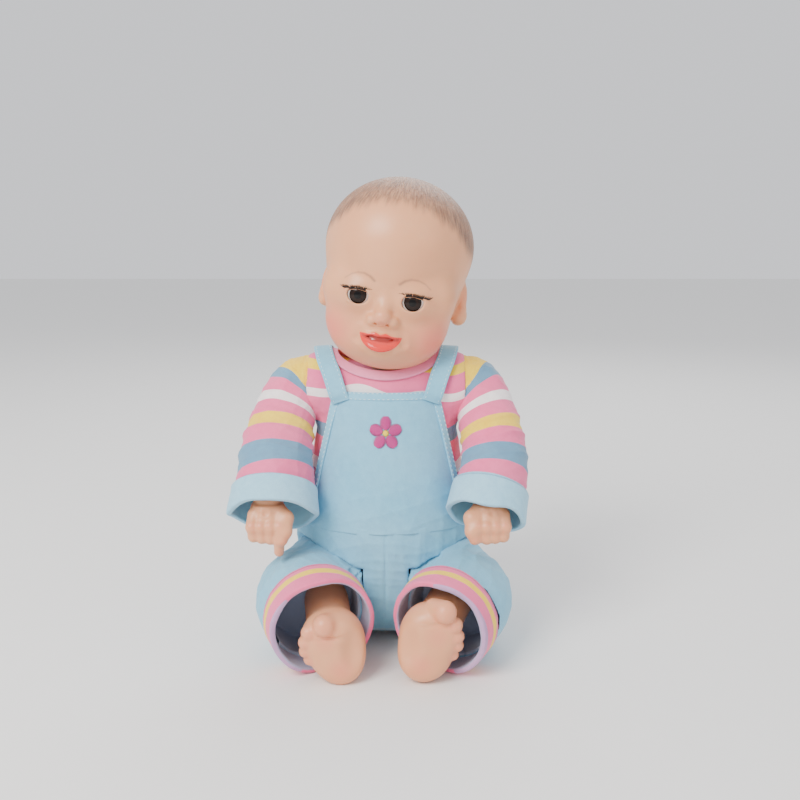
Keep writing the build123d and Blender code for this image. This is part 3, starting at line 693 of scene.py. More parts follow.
def iris_material():
    m = material("eye_iris", 0.12, Specular_IOR_Level=0.1, Coat_Weight=0.3, Coat_Roughness=0.04)
    r = field(m, "radius")
    around = node(m, "Attribute", attribute_name="spoke").outputs["Vector"]
    spokes = node(m, "TexNoise", {"Vector": around}, Scale=1.0, Detail=4)
    brown = ramp(m, r, [(0.0, (0.002, 0.0015, 0.0015)), (0.36, (0.003, 0.002, 0.002)),
                        (0.46, (0.022, 0.009, 0.005)), (0.85, (0.012, 0.005, 0.003)),
                        (0.97, (0.002, 0.001, 0.001))])
    veined = mix(m, ramp(m, spokes.outputs["Fac"], [(0.35, grey(0.0)), (0.7, grey(0.8))]), brown,
                 mix(m, 1.0, brown, (0.25, 0.22, 0.2), "MULTIPLY"))
    white = node(m, "TexNoise", {"Vector": coords(m)}, Scale=240, Detail=3).outputs["Fac"]
    cloudy = ramp(m, white, [(0.4, grey(0)), (0.9, grey(0.5))])
    sclera = mix(m, cloudy, (0.84, 0.82, 0.79), (0.74, 0.60, 0.55))
    edge = node(m, "MapRange", {"Value": r}).outputs[0]
    edge.node.inputs["From Min"].default_value = 0.97
    edge.node.inputs["From Max"].default_value = 1.06
    out(m, "Base Color", mix(m, edge, veined, sclera))
    return m


def build_eyes():
    iris = iris_material()
    for side, s in (("left", 1), ("right", -1)):
        centre = V(s * EYE_X, EYE_BACK, EYE_UP)
        rings, turns = 44, 64
        a = np.concatenate([np.linspace(0.02, 0.8, 30), np.linspace(0.85, np.pi - 0.03, rings - 30)])
        b = np.linspace(0, 2 * np.pi, turns, endpoint=False)
        aa, bb = np.meshgrid(a, b, indexing="ij")
        cornea = EYE_R + 0.25 * step(-aa, -0.66, -0.48)
        p = cornea[..., None] * np.stack([np.sin(aa) * np.cos(bb), -np.cos(aa), np.sin(aa) * np.sin(bb)], -1)
        faces = [[i * turns + j, i * turns + (j + 1) % turns,
                  (i + 1) * turns + (j + 1) % turns, (i + 1) * turns + j]
                 for i in range(rings - 1) for j in range(turns)]
        faces += [list(range(turns)), [(rings - 1) * turns + j for j in range(turns)]]
        spoke = np.stack([np.cos(bb) * 9, np.sin(bb) * 9, aa * 2], -1).reshape(-1, 3)
        marks = {"radius": aa.ravel() / IRIS_ANGLE, "spoke": spoke}
        put(piece(f"eyeball_{side}", p.reshape(-1, 3) + centre, faces, iris, HEAD, marks), f"eye_{side}",
            [f"eye_globe_{side}", f"eye_iris_{side}"])

        up, across = np.meshgrid(np.linspace(LID_UP, LID_DOWN, 26), np.linspace(-LID_ACROSS, LID_ACROSS, 36),
                                 indexing="ij")
        edge = 0.1 * np.abs(across) * (LID_DOWN - up)
        lip = 0.12 * bump(up, LID_UP, 0.05)
        outer = on_ball(12.6 + lip, across, up - edge)
        inner = on_ball(np.full(up.shape, 12.34), across, up - edge)
        v, f = shell(outer, inner)
        lid = piece(f"eyelid_vinyl_{side}", v + centre, f, limb_skin, HEAD, {"blush": np.full(len(v), 0.12)})
        put(lid, f"eye_{side}", [f"eyelid_{side}"])

        hairs, found = [], []
        for k in range(LASHES):
            t = -1 + 2 * (k + 0.5) / LASHES
            sideways = t * 0.78 + 0.012 * rng.standard_normal()
            root = on_ball(np.array(12.5), np.array(sideways), np.array(LID_UP + 0.03 - 0.07 * abs(t)))
            away = root / np.linalg.norm(root)
            reach_out = (3.9 + 1.4 * abs(t) + 0.45 * rng.standard_normal()) * (1.0 if t * s > -0.5 else 0.75)
            lean = V(0.75 * t + 0.10 * rng.standard_normal(), 0, 0)
            steps = np.linspace(0, 1, 7)[:, None]
            curl = steps ** 2 * reach_out * V(0, -0.15, 0.50)
            line = root + steps * reach_out * (away * 0.55 + lean) + curl
            ring = np.linspace(0, 2 * np.pi, 5, endpoint=False)
            size = 0.42 * (1 - 0.85 * steps[:, 0])
            section = np.stack([np.cos(ring)[None] * size[:, None], np.sin(ring)[None] * size[:, None]], 2)
            v, f = sweep(line, np.tile(V(0, 0, 1), (len(steps), 1)), section)
            found += [[i + sum(map(len, hairs)) for i in q] for q in f]
            hairs.append(v)
        put(piece(f"lashes_{side}", np.concatenate(hairs) + centre, found, lash_hair, HEAD), f"eye_{side}",
            [f"eyelashes_{side}"])


# ---- hands, arms, feet and legs ------------------------------------------------------------
def limb_marks(p, spots):
    """Blush on a limb: a faint ground and spots given as x, y, z, radius, amount."""
    blush = np.full(len(p), 0.05)
    for x, y, z, r, amount in spots:
        blush = np.maximum(blush, amount * np.exp(-(length(p - V(x, y, z)) / r) ** 2))
    return {"blush": blush}


def arm_field(side, s, c):
    """A forearm with a loosely curled hand round c; the right hand points with its first finger."""
    fingers, spots = [], []
    for i in range(4):
        a = s * (i - 1.5)
        slim = 1 - 0.06 * abs(i - 1.2)
        base = c + V(a * 6.2, -6, 3)
        knuckle = c + V(a * 6.8, -12.5, -4.5)
        bend = c + V(a * 6.3, -10.5, -14 * slim)
        tip = c + V(a * 5.6 - s * 0.5, -3.5, -16 * slim)
        if side == "right" and i == 0:
            bend, tip = c + V(a * 6.6, -12, -15), c + V(a * 6.0, -9, -25)
        fingers.append(([base, knuckle, bend, tip], [5.2, 5.0 * slim, 4.5 * slim, 4.0 * slim]))
        spots += [(*knuckle, 4.5, 0.28), (*tip, 5, 0.38), (*(c + V(a * 6.6, -16, -2)), 3, 0.3)]
    thumb_line = [(-s * 8, -3, 6), (-s * 14.5, -8, 1), (-s * 14.5, -13, -8), (-s * 12.5, -13.5, -14)]
    thumb = ([c + V(*point) for point in thumb_line], [6, 5.6, 4.8, 4.0])
    elbow = V(s * 83, -32, 149)
    wrist, palm = c + V(0, 4, 12), c + V(0, 0, 4)
    path = spline([(s * 80, -16, 173, 14), (*elbow, 14.5), (*wrist, 11.5), (*palm, 12)], 14)

    def f(p):
        d = tube(p, path)[0]
        d = smin(d, ellipsoid(p, c + V(0, -2, -1), (14.5, 11.5, 13.5)), 5)
        for points, radii in fingers:
            d = smin(d, chain(p, points, radii, 2.2), 1.5)
        d = smin(d, chain(p, *thumb, 2.5), 2.6)
        crease = c + V(0, 2, 12.5)
        across = np.hypot(p[:, 0] - crease[0], p[:, 1] - crease[1])
        ringed = np.hypot(across - 12.2, p[:, 2] - crease[2]) - 1.2
        d = smax(d, -ringed, 2.2)
        for i in range(3):
            dimple = c + V(s * (i - 1) * 6.6, -13.5, 6.5)
            d = smax(d, -ball(p, dimple, 1.9), 2.4)
        return d

    return f, spots + [(*(thumb[0][3]), 5, 0.35)]


def build_arms():
    for side, s, x in (("left", 1, 79), ("right", -1, 89)):
        c = V(s * x, -64, 110)
        f, spots = arm_field(side, s, c)
        lo, hi = c - V(24, 26, 38), V(s * 80, -4, 176) + V(30, 0, 0)
        lo = np.minimum(lo, V(s * 80 - 20, -60, 100))
        verts, faces = skin(f, lo, hi, FINE * 1.15)
        arm = piece(f"hand_and_arm_{side}", verts, faces, limb_skin, None, limb_marks(verts, spots))
        put(arm, f"arm_{side}", [f"arm_{side}"])


# each foot: its side, middle and half sizes, the ankle's route, and the toes as x, y, z, radius
FEET = {
    "right": dict(s=-1, c=(-36, -106, 26.5), half=(22, 19, 25.5),
                  path=[(-46, -60, 41, 17), (-42, -85, 35, 17), (-38, -100, 33, 17)],
                  toes=[(-43, -118, 46, 8.2), (-54, -115.5, 39.5, 5.9), (-57, -114, 31.5, 5.2),
                        (-57, -112.5, 24.3, 4.9), (-54.3, -111, 17.3, 4.5)]),
    "left": dict(s=1, c=(31, -106, 29.5), half=(21, 19, 28.5),
                 path=[(50, -60, 41, 17), (40, -85, 36, 17), (34, -100, 34, 17)],
                 toes=[(43, -118, 56, 8.4), (50, -116, 45.5, 5.9), (52, -114.5, 36.5, 5.2),
                       (52, -112.5, 28.8, 4.9), (49, -111, 21, 4.5)]),
}


def foot_field(foot):
    s, c = foot["s"], V(*foot["c"])
    path = spline(foot["path"], 10)

    def f(p):
        d = tube(p, path)[0]
        d = smin(d, ellipsoid(p, c, foot["half"]), 9)
        heel = c + V(-s * 5, -3, -13)
        pad = c + V(s * 7, -4, 9)
        d = smin(d, ball(p, heel, 14.5), 9)
        d = smin(d, ellipsoid(p, pad, (16, 14.5, 15)), 8)
        d = smax(d, -(p[:, 1] + 121.5), 6)
        d = smax(d, -ellipsoid(p, c + V(-s * 16, -16, 2), (8, 7, 13)), 8)
        for x, y, z, r in foot["toes"]:
            root = V(x, y, z) - V(s * r * 0.9, -r * 1.1, 0.1 * r)
            d = smin(d, bone(p, root, (x, y, z), r * 0.86, r), 1.7)
        big = foot["toes"][0]
        under_toe = (big[0] - s * 5.5, big[1] - 4, big[2] - big[3] - 0.6)
        d = smax(d, -ellipsoid(p, under_toe, (6.5, 2.6, 0.7)), 3.2)
        return d

    spots = [(x, y - 3, z, r * 1.1, 0.34) for x, y, z, r in foot["toes"]]
    spots += [(*(c + V(s * 7, -14, 9)), 9, 0.28), (*(c + V(-s * 5, -15, -13)), 9, 0.34)]
    return f, spots


def build_legs():
    for side, foot in FEET.items():
        f, spots = foot_field(foot)
        s = foot["s"]
        lo = V(min(s * 8, s * 74), -127, -1)
        hi = V(max(s * 8, s * 74), -48, 70)
        verts, faces = skin(f, lo, hi, FINE * 1.2)
        leg = piece(f"foot_and_leg_{side}", verts, faces, limb_skin, None, limb_marks(verts, spots))
        put(leg, f"leg_{side}", [f"leg_{side}"])


build_eyes()
build_arms()
build_legs()


# ---- torso and clothes ---------------------------------------------------------------------
# heights of the trunk and of the bowl under the chin, with half width, half depth and middle
TORSO = [(0, 64, 47, 4), (14, 73, 54, 2), (44, 76, 56, 0), (85, 69, 53, -2), (130, 61, 49, 0),
         (170, 54, 42, 2), (200, 48, 33, 4), (222, 34, 24, 5)]
BOWL = [(209.5, 8, 12, -3), (212, 20, 30, -3), (219, 36, 52, -3), (230, 46, 68, -3), (243, 51, 74, -3),
        (262, 50, 70, -3)]
HIP_Y, HIP_Z = -24.0, 41.5
STRIP_HALF = 17.6
WAIST_Z, BIB_TOP_Z = 98, 199
SHIRT_LAYER, SEAT_LAYER, BINDING_LAYER = 2.3, 4.5, 4.6
OPENING_HALF_X, OPENING_HALF_Z, OPENING_Z = 27, 38, 126


def stack(p, rows):
    """Distance to a smooth stack of ellipses, each a height, two half widths and a middle."""
    fine = spline(rows, 160)
    rx, ry, cy = (np.interp(p[:, 2], fine[:, 0], fine[:, k]) for k in (1, 2, 3))
    x, y = p[:, 0], p[:, 1] - cy
    k = np.hypot(x / rx, y / ry)
    side = k * (k - 1) / (np.hypot(x / rx ** 2, y / ry ** 2) + 1e-9)
    return smax(side, np.maximum(fine[0, 0] - p[:, 2], p[:, 2] - fine[-1, 0]), 5)


def torso(p, layer):
    """The trunk with its shoulders, grown by a layer of cloth."""
    d = smin(stack(p, TORSO), bone(p, (-49, 2, 200), (49, 2, 200), 26, 26), 9)
    return d - layer


def hips(p, room=2.0):
    """The space the trouser legs swing in, on both sides of the seat strip."""
    q = mirrored(p)
    r = np.hypot(p[:, 1] - HIP_Y, p[:, 2] - HIP_Z)
    drum = np.maximum(r - 40 - room, STRIP_HALF - q[:, 0])
    below = np.maximum.reduce([STRIP_HALF - q[:, 0], p[:, 1] - 20, p[:, 2] - HIP_Z])
    between = np.maximum.reduce([p[:, 1] - HIP_Y, p[:, 2] - HIP_Z, 38 - r])
    return np.minimum(np.minimum(drum, below), between)


def sockets(p, room=0.8):
    """The balls of space that the tops of the arms turn in."""
    return ball(mirrored(p), (72, 2, 200), 25 + room)


def window(p):
    """The opening in the back of the clothes."""
    r = np.maximum(np.abs(p[:, 0]) - OPENING_HALF_X, np.abs(p[:, 2] - OPENING_Z) - OPENING_HALF_Z)
    return np.maximum(r, 37 - p[:, 1])


def creases(p, seed, size):
    """Soft wandering creases: a few bent waves of different lengths, in millimetres."""
    draw = np.random.default_rng(seed)
    total, directions = np.zeros(len(p)), 5
    for _ in range(directions):
        aim = draw.standard_normal(3)
        aim /= np.linalg.norm(aim)
        wave = draw.uniform(9, 24)
        bend = 0.9 * np.sin(p @ draw.standard_normal(3) * 0.05 + draw.uniform(0, 6))
        total += (1 - np.abs(np.sin(p @ aim * math.pi / wave + bend + draw.uniform(0, 6)))) ** 2 - 0.3
    return size * total / directions


def build_shirt():
    """The shirt, the stuffed body under it and the band round its neck."""
    def f(p):
        armpit = bump(length(mirrored(p) - V(58, -14, 172)), 0, 26)
        d = torso(p, SHIRT_LAYER) - creases(p, 3, 1.6) * (0.4 + armpit)
        d = smax(d, -hips(p), 1.5)
        d = smax(d, -sockets(p), 1.5)
        d = smax(d, -stack(p, BOWL), 1.0)
        d = np.maximum(d, 50 - p[:, 2])
        return smax(d, -window(p), 0.8)

    verts, faces = skin(f, (-80, -62, 40), (80, 64, 232), 1.35)
    lift = 3.0 * np.sin(verts[:, 0] * 0.05) + 2 * np.sin(verts[:, 0] * 0.13 + 1)
    t = np.clip((verts[:, 2] + lift - 96) / 132, 0, 1)
    shirt = piece("shirt_torso", verts, faces, shirt_cloth, None, {"t": t})
    put(shirt, "torso", ["shirt_body"])

    def g(p):
        d = smax(torso(p, -0.6), -hips(p, 2.6), 1.5)
        d = smax(smax(d, -sockets(p, 1.4), 1.5), 1.5 - stack(p, BOWL), 1)
        d = np.maximum(d, 0.6 - p[:, 2])
        hollow = np.maximum.reduce([np.abs(p[:, 0]) - 29.2, np.abs(p[:, 2] - 126) - 40.2, -2.2 - p[:, 1]])
        return smax(d, -hollow, 0.8)

    verts, faces = skin(g, (-80, -62, -4), (80, 64, 232), 1.9)
    body = piece("stuffed_body", verts, faces, body_fabric)
    put(body, "torso", ["body_cloth"])

    around = np.linspace(0, 2 * np.pi, 160, endpoint=False)
    path = np.stack([38 * np.sin(around), -3 - 48 * np.cos(around), 219 + 0 * around], 1)
    rim = lambda p: stack(p, BOWL) + 1.2
    skin_at = lambda p: torso(p, 2.0)
    for _ in range(14):
        path = settle(rim, settle(skin_at, path, 6), 6)
    ups = slope(skin_at, path) - 0.35 * slope(rim, path)
    v, fc = sweep(path, ups, band(8.5, 2.3), True)
    put(piece("collar_band", v, fc, collar_cloth), "torso", ["shirt_collar"])


def build_seat():
    def f(p):
        back = step(p[:, 1], 12, 22) * (1 - step(np.abs(p[:, 0]), 54, 60))
        top = WAIST_Z + 26 * back
        lap = bump(length((mirrored(p) - V(26, -48, 70)) * V(1, 1, 1.2)), 0, 34)
        d = torso(p, SEAT_LAYER) - creases(p, 11, 2.2) * (0.35 + 1.2 * lap)
        d = d + 1.0 * bump(p[:, 0], 0, 1.1) * (p[:, 1] < 30)
        d = smax(d, -hips(p, 1.2), 2.0)
        d = smax(d, p[:, 2] - top, 1.6)
        d = np.maximum(d, 0.3 - p[:, 2])
        return smax(d, -window(p), 0.8)

    verts, faces = skin(f, (-86, -66, -6), (86, 66, 128), 1.25)
    put(piece("dungaree_seat_cloth", verts, faces, sky_cloth), "torso", ["dungaree_seat"])


def front_y(x, z, layer):
    """Where the front of the trunk is, under a layer of cloth."""
    fine = spline(TORSO, 160)
    rx, ry, cy = (np.interp(z, fine[:, 0], fine[:, k]) for k in (1, 2, 3))
    return cy - (ry + layer) * np.sqrt(np.clip(1 - (x / (rx + layer)) ** 2, 0.02, 1))


def bib_half(z):
    """Half the bib's width at a height."""
    return np.interp(z, [WAIST_Z - 6, BIB_TOP_Z], [66, 41])


def build_bib():
    """The bib and the binding round its edge; returns the binding's stitches."""
    z, u = np.meshgrid(np.linspace(WAIST_Z - 5, BIB_TOP_Z, 110), np.linspace(-1, 1, 110), indexing="ij")
    x = u * (bib_half(z) - 1.5)
    flat = np.stack([x.ravel(), np.zeros(x.size), z.ravel()], 1)
    folds = creases(flat, 21, 1.5).reshape(x.shape) * (0.25 + step(-z, -150, -104))
    sag = 0.8 * bump(z, 190, 10) * np.cos(u * 1.5)
    outer = np.stack([x, front_y(x, z, 4.7 + folds + sag), z], -1)
    inner = np.stack([x, front_y(x, z, 2.6), z], -1)
    v, f = shell(outer, inner)
    put(piece("bib_cloth", v, f, sky_cloth), "torso", ["dungaree_bib"])

    corner = bib_half(BIB_TOP_Z) - 3
    edge = [(-bib_half(h) + 3, h) for h in np.linspace(WAIST_Z - 2, BIB_TOP_Z - 5, 60)]
    edge += [(-corner + 0.5, BIB_TOP_Z - 3.4), (-corner + 2.2, BIB_TOP_Z - 2.5)]
    edge += [(h, BIB_TOP_Z - 2.5) for h in np.linspace(-corner + 4, 0, 24)]
    edge += [(-a, b) for a, b in edge[-2::-1]]
    path = np.array([(a, front_y(a, b, BINDING_LAYER), b) for a, b in edge])
    ups = slope(lambda p: torso(p, BINDING_LAYER), path)
    v, f = sweep(path, ups, band(6.4, 1.7))
    put(piece("bib_edge_binding", v, f, binding_cloth), "torso", ["bib_binding"])
    across = np.cross(np.gradient(path, axis=0), ups)
    across /= length(across)[:, None]
    lines = []
    for shift in (-2.3, 2.3):
        lines += stitches(path + across * shift + ups * 1.55, ups)
    return lines


def build_straps():
    """The straps from the bib over the shoulders to the back; returns their stitches."""
    lines = []
    wall = lambda p: torso(p, SEAT_LAYER)
    for side, s in (("left", 1), ("right", -1)):
        guide = [(35.5, -31, 192), (37.5, -30, 199), (42, -26, 212), (47, -18, 222), (50, -6, 229),
                 (51, 5, 231), (50, 17, 227), (47, 30, 214), (44, 40, 194), (41, 47, 165), (38, 51, 138),
                 (37.6, 52, 124)]
        path = settle(wall, spline([(s * x, y, z) for x, y, z in guide], 90), 6, 4)
        ups = slope(wall, path)
        rise = (1.0 * step(-path[:, 1], 10, 26) - 2.6 * step(-path[:, 2], -199, -192))[:, None]
        path = path + ups * rise
        v, f = sweep(path, ups, band(14.5, 1.9))
        strap = piece(f"shoulder_strap_{side}", v, f, binding_cloth)
        put(strap, "torso", [f"strap_{side}"])
        across = np.cross(np.gradient(path, axis=0), ups)
        across /= length(across)[:, None]
        for shift in (-5.4, 5.4):
            lines += stitches(path + across * shift + ups * 1.75, ups)
    return lines


def build_hem():
    """The band round the opening in the back; returns its stitches."""
    corner, turns = 5, np.linspace(0, np.pi / 2, 7)
    path = []
    for cx, cz, start in ((1, 1, 0), (-1, 1, 1), (-1, -1, 2), (1, -1, 3)):
        for t in turns + start * np.pi / 2:
            path.append((cx * 24.5 + corner * np.cos(t), 52, OPENING_Z + cz * 35.5 + corner * np.sin(t)))
    path = np.array(path)
    far = np.concatenate([[0], np.cumsum(length(np.diff(np.vstack([path, path[:1]]), axis=0)))])
    s = np.linspace(0, far[-1], 200, endpoint=False)
    path = np.stack([np.interp(s, far, np.append(path[:, k], path[0, k])) for k in range(3)], 1)
    wall = lambda p: torso(p, 4.4)
    path = settle(wall, path, 6, 4)
    ups = slope(wall, path)
    v, f = sweep(path, ups, band(5.2, 1.6), True)
    put(piece("opening_hem", v, f, binding_cloth), "torso", ["back_opening_hem"])
    return stitches(path + ups * 1.45, ups)


def build_flower():
    """An embroidered flower in satin stitch in the middle of the bib."""
    petals, heart, middle, off = [], [], 170, V(0, -1, 0.1)

    def on_bib(x, z):
        return V(x, float(front_y(np.array(x), np.array(z), 5.3)), z)

    for k in range(5):
        a = math.radians(90 + 72 * k)
        along, across = (math.cos(a), math.sin(a)), (-math.sin(a), math.cos(a))
        for j in range(15):
            far = 3.0 + 9.2 * j / 14
            half = 4.7 * math.sqrt(max(0.04, 1 - ((far - 7.8) / 5.2) ** 2))
            ends = [on_bib(far * along[0] + end * half * across[0],
                           middle + far * along[1] + end * half * across[1]) for end in (-1, 1)]
            petals.append((*ends, off))
    for k in range(10):
        a = math.pi * k / 10
        across, rise = 2.5 * math.cos(a), 2.5 * math.sin(a)
        heart.append((on_bib(across, middle + rise), on_bib(-across, middle - rise), off))
    put(threads("flower_satin", petals, 0.46, dark_thread, 0.5), "torso", ["bib_flower"])
    yellow_thread = plain("yellow_thread", YELLOW, 0.55, scale=2500, strength=0.5)
    put(threads("flower_centre", heart, 0.5, yellow_thread, 0.3), "torso", ())


# the middle line of each sleeve and trouser leg with its radius; the last row is the end of the cuff
SHOULDER_ROWS = [(53, 3, 203, 21), (62, 2, 201.5, 22.8), (72, 0, 197, 23)]
SLEEVE = {
    "left": SHOULDER_ROWS + [(81, -14, 176, 23.5), (85, -33, 149, 25), (81, -48, 128, 27),
                             (76, -62, 109, 28.5)],
    "right": SHOULDER_ROWS + [(82, -14, 176, 24.5), (86, -33, 148, 28), (86, -45, 127, 30.5),
                              (86, -58, 109, 33)],
}
TROUSER = {
    "left": [(56, -26, 41.5, 33), (61.5, -55, 41.5, 37), (49.5, -80, 39.5, 36.5), (39, -101, 36.5, 35)],
    "right": [(54, -26, 41.5, 35), (62, -55, 41.5, 39), (53, -80, 40.5, 38), (45, -101, 37.5, 37)],
}


def cut_end(p, rows, back=0.0):
    """How far a point is past the flat end of a tube."""
    a, b = V(*rows[-2][:3]), V(*rows[-1][:3])
    aim = (b - a) / np.linalg.norm(b - a)
    return (p - b) @ aim + back


def cuff_ring(name, rows, wide, material, stripe, flare, seed):
    """A band of doubled cloth round the end of a tube, its stripes given as length, lean and turn."""
    a, b = V(*rows[-2][:3]), V(*rows[-1][:3])
    ra, rb = rows[-2][3], rows[-1][3]
    aim = (b - a) / np.linalg.norm(b - a)
    path = np.array([(*a, ra), (*b, rb), (*(b + aim * 20), rb + (rb - ra) * 0.3)])

    def f(p):
        d, s, t = tube(p, path)
        soft = creases(p, seed, 1.3) + flare * np.sin(2 * t + seed) * 0.5
        outer = d - wide - soft * 0.6 + 0.5 * bump(s, 3.0, 0.9)
        inner = d + 2.1 - soft * 0.6
        wave = 1.2 * np.sin(t * 3 + seed) + 0.8 * np.sin(5 * t)
        outer = smax(outer, cut_end(p, rows) - wave, 1.4)
        outer = smax(outer, -((p - a) @ aim) + 0.5 * np.sin(2 * t + 1), 1.2)
        outer = np.maximum(outer, 0.4 - p[:, 2])
        return smax(outer, -inner, 1.4)

    reach_out = max(ra, rb) + wide + 5
    lo, hi = np.minimum(a, b) - reach_out, np.maximum(a, b) + reach_out
    verts, faces = skin(f, lo, hi, FINE * 1.25)
    d, s, t = tube(verts, path)
    # painted shade: marks the inner face of the cuff, which its cloth colours darker and greyer
    inside = 1 - step(d, -1.6, -0.7)
    slant = s + stripe[1] * np.sin(t + stripe[2])
    seam = 0.8 * bump(s, 3.0, 0.7) * (d > -0.5)
    marks = {"t": np.clip(slant / stripe[0], 0, 1), "inside": inside, "stitch": seam}
    return piece(name, verts, faces, material, None, marks)


def build_sleeves():
    for side, s in (("left", 1), ("right", -1)):
        rows = [(s * x, y, z, r) for x, y, z, r in SLEEVE[side]]
        path, inner = spline(rows[:-1], 34), spline(rows[2:-1] + [rows[-1]], 26)
        inner[:, 3] -= 3.6
        seed = 31 if s > 0 else 47

        def f(p):
            d, far, t = tube(p, path)
            elbow = bump(far, 70, 26)
            rings = (1 - np.abs(np.sin(far * 0.21 + 1.3 * np.sin(t + 0.6 + s)))) ** 2 * 1.7 * elbow
            gather = 0.9 * bump(far, 20, 12) * np.cos(7 * t)
            gather = gather + 1.1 * bump(far, far.max(), 16) * np.cos(3 * t + 1)
            outer = d - rings - gather * 0.6 - creases(p, seed, 2.0) - 0.3
            outer = smax(outer, cut_end(p, rows[:-1], -3), 1.2)
            hollow = np.maximum(tube(p, inner)[0] + 0.3, 66 - far)
            return smax(outer, -hollow, 1.2)

        lo = V(min(s * 28, s * 122), -96, 100)
        hi = V(max(s * 28, s * 122), 30, 232)
        verts, faces = skin(f, lo, hi, FINE * 1.4)
        d, far, t = tube(verts, path)
        total = sum(np.linalg.norm(path[i + 1, :3] - path[i, :3]) for i in range(len(path) - 1))
        stripe = np.clip((far - 8 + 2.5 * np.sin(t * 1.0 + 0.8)) / (total - 8), 0, 1)
        inside = (d < -1.6) * (far > 70)
        marks = {"t": stripe, "inside": inside}
        sleeve = piece(f"sleeve_cloth_{side}", verts, faces, sleeve_cloth, None, marks)
        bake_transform(sleeve)
        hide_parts(f"sleeve_{side}")
        cuff = cuff_ring(f"sleeve_cuff_cloth_{side}", rows, 2.5, cuff_cloth, (30, 0, 0), 1.0, seed + 3)
        put(cuff, f"arm_{side}", [f"sleeve_cuff_{side}"])


def build_trousers():
    for side, s in (("left", 1), ("right", -1)):
        rows = [(s * x, y, z, r) for x, y, z, r in TROUSER[side]]
        path, inner = spline(rows[:-1], 26), spline(rows[1:], 20)
        inner[:, 3] -= 4.2
        seed = 61 if s > 0 else 73

        def f(p):
            d, far, t = tube(p, path)
            r = np.hypot(p[:, 1] - HIP_Y, p[:, 2] - HIP_Z)
            drum = smax(smax(r - 39.5, s * p[:, 0] - 78, 22), 18.2 - s * p[:, 0], 3)
            d = smin(d, drum, 7)
            start = V(s * 16, -46, 66)
            v = p - start
            around = np.arctan2(v[:, 2], s * v[:, 0])
            away = length(v)
            rays = (1 - np.abs(np.sin(around * 5.5 + 0.02 * away + 0.5 * s))) ** 2.2
            fan = 3.2 * rays * bump(away, 34, 26) * step(p[:, 2], 20, 44)
            mouth = 1.2 * bump(far, far.max(), 16) * np.cos(4 * t + s)
            outer = d - fan - creases(p, seed, 2.2) + 0.6 - 0.6 * mouth
            outer = np.maximum(outer, -p[:, 2] + 0.5)
            outer = smax(outer, 18.4 - s * p[:, 0] - 30 * step(-p[:, 1], 52, 70), 2)
            outer = smax(outer, cut_end(p, rows[:-1], -3), 1.2)
            hollow = np.maximum(tube(p, inner)[0] + 0.4, 30 - far)
            return smax(outer, -hollow, 1.2)

        lo = V(min(s * 4, s * 108), -92, -3)
        hi = V(max(s * 4, s * 108), 22, 90)
        verts, faces = skin(f, lo, hi, FINE * 1.5)
        d, far, t = tube(verts, path)
        # painted shade: marks the inner face of the leg, which the jersey colours darker and greyer
        inside = (tube(verts, inner)[0] < 1.5) * (far > 28) * 1.0
        seam = 0.7 * bump(np.abs(verts[:, 0]) - 60, 0, 0.9) * (verts[:, 2] < 12)
        marks = {"inside": inside, "stitch": seam}
        trouser = piece(f"trouser_cloth_{side}", verts, faces, sky_cloth, None, marks)
        put(trouser, f"leg_{side}", [f"trouser_leg_{side}"])
        stripe = (29, 3.0, 1.5 * s)
        cuff = cuff_ring(f"turned_cuff_cloth_{side}", rows, 2.2, turned_cloth, stripe, 1.6, seed + 5)
        put(cuff, f"leg_{side}", [f"trouser_cuff_{side}"])


build_shirt()
build_seat()
lines = build_bib() + build_straps() + build_hem()
put(threads("dungaree_stitching", lines, 0.3, pale_thread), "torso", ())
build_flower()
build_sleeves()
build_trousers()


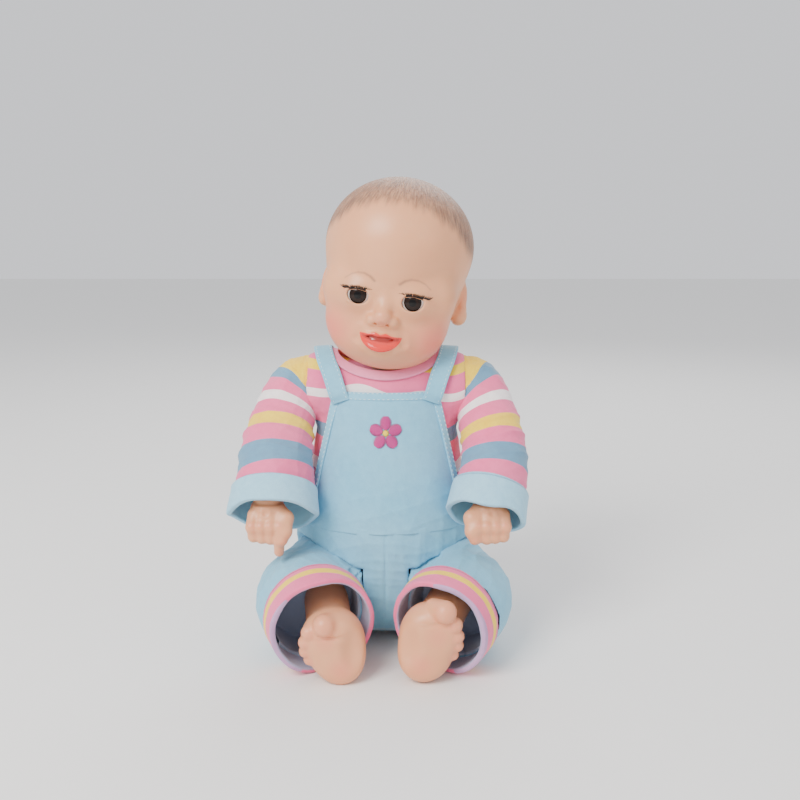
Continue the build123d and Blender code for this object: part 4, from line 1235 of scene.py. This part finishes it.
# ---- finishes of the moulded and metal parts ------------------------------------------------
def finish_cad():
    """Colour, roughness, metal, grain and depth for each slot that stays as CAD."""
    looks = {
        "button_plastic": ((0.30, 0.55, 0.72), 0.28),
        "case_plastic": ((0.70, 0.70, 0.67), 0.5, 0.0, 1400, 0.25),
        "door_plastic": ((0.62, 0.62, 0.60), 0.45, 0.0, 1400, 0.25),
        "dark_plastic": ((0.02, 0.02, 0.024), 0.4),
        "joint_plastic": ((0.74, 0.62, 0.52), 0.42),
        "steel": ((0.55, 0.55, 0.57), 0.28, 1.0, 900, 0.2),
        "cell_jacket": ((0.03, 0.10, 0.06), 0.3),
        "contact_metal": ((0.72, 0.52, 0.22), 0.3, 1.0, 700, 0.15),
        "board": ((0.01, 0.10, 0.04), 0.4, 0.0, 500, 0.2),
        "speaker_paper": ((0.015, 0.015, 0.017), 0.85, 0.0, 1600, 0.4),
        "lead_sleeve": ((0.35, 0.02, 0.02), 0.5),
    }
    finishes = {name: plain(name, *look) for name, look in looks.items()}
    slots = {part["node"]: part["material_slot"] for part in frame["record"]["subparts"]}
    for name, obj in frame["nodes"].items():
        finish = finishes.get(slots.get(name))
        if finish is not None:
            obj.data.materials.clear()
            obj.data.materials.append(finish)


finish_cad()


# ---- floor, light and camera, in metres ----------------------------------------------------
FLOOR_Z, FLOOR_SIZE = -0.0005, 14
MIDDLE = (0, 0, 0.2)
CAMERA_PLACE, CAMERA_PITCH, LENS, SENSOR = (0.011, -0.72, 0.315), 80, 40.5, 36


def light(name, place, energy, size, colour=(1, 1, 1)):
    """An area light aimed at the middle of the doll."""
    data = bpy.data.lights.new(name, "AREA")
    data.energy, data.size, data.color = energy, size, colour
    lamp = bpy.data.objects.new(name, data)
    lamp.location = place
    lamp.rotation_euler = (Vector(MIDDLE) - Vector(place)).to_track_quat("-Z", "Y").to_euler()
    bpy.context.scene.collection.objects.link(lamp)


def build_stage():
    bpy.ops.mesh.primitive_grid_add(x_subdivisions=4, y_subdivisions=4, size=FLOOR_SIZE,
                                    location=(0, 0, FLOOR_Z))
    floor = bpy.context.object
    floor.name = "floor"
    paint = plain("floor_paint", (0.86, 0.855, 0.84), 0.75, scale=200, strength=0.02, vary=0.985)
    floor.data.materials.append(paint)
    world = bpy.data.worlds.new("studio")
    world.use_nodes = True
    background = world.node_tree.nodes["Background"]
    background.inputs["Color"].default_value = (0.95, 0.96, 1.0, 1)
    background.inputs["Strength"].default_value = 1.0
    bpy.context.scene.world = world
    light("key", (-0.9, -1.2, 1.35), 46, 0.9, (1.0, 0.97, 0.93))
    light("fill", (1.3, -0.9, 0.9), 4, 1.3)
    light("rim", (0.3, 1.2, 1.3), 10, 1.2)
    camera = bpy.data.objects.new("camera", bpy.data.cameras.new("camera"))
    camera.data.lens, camera.data.sensor_width = LENS, SENSOR
    camera.location = CAMERA_PLACE
    camera.rotation_euler = (math.radians(CAMERA_PITCH), 0, 0)
    bpy.context.scene.collection.objects.link(camera)
    bpy.context.scene.camera = camera


build_stage()
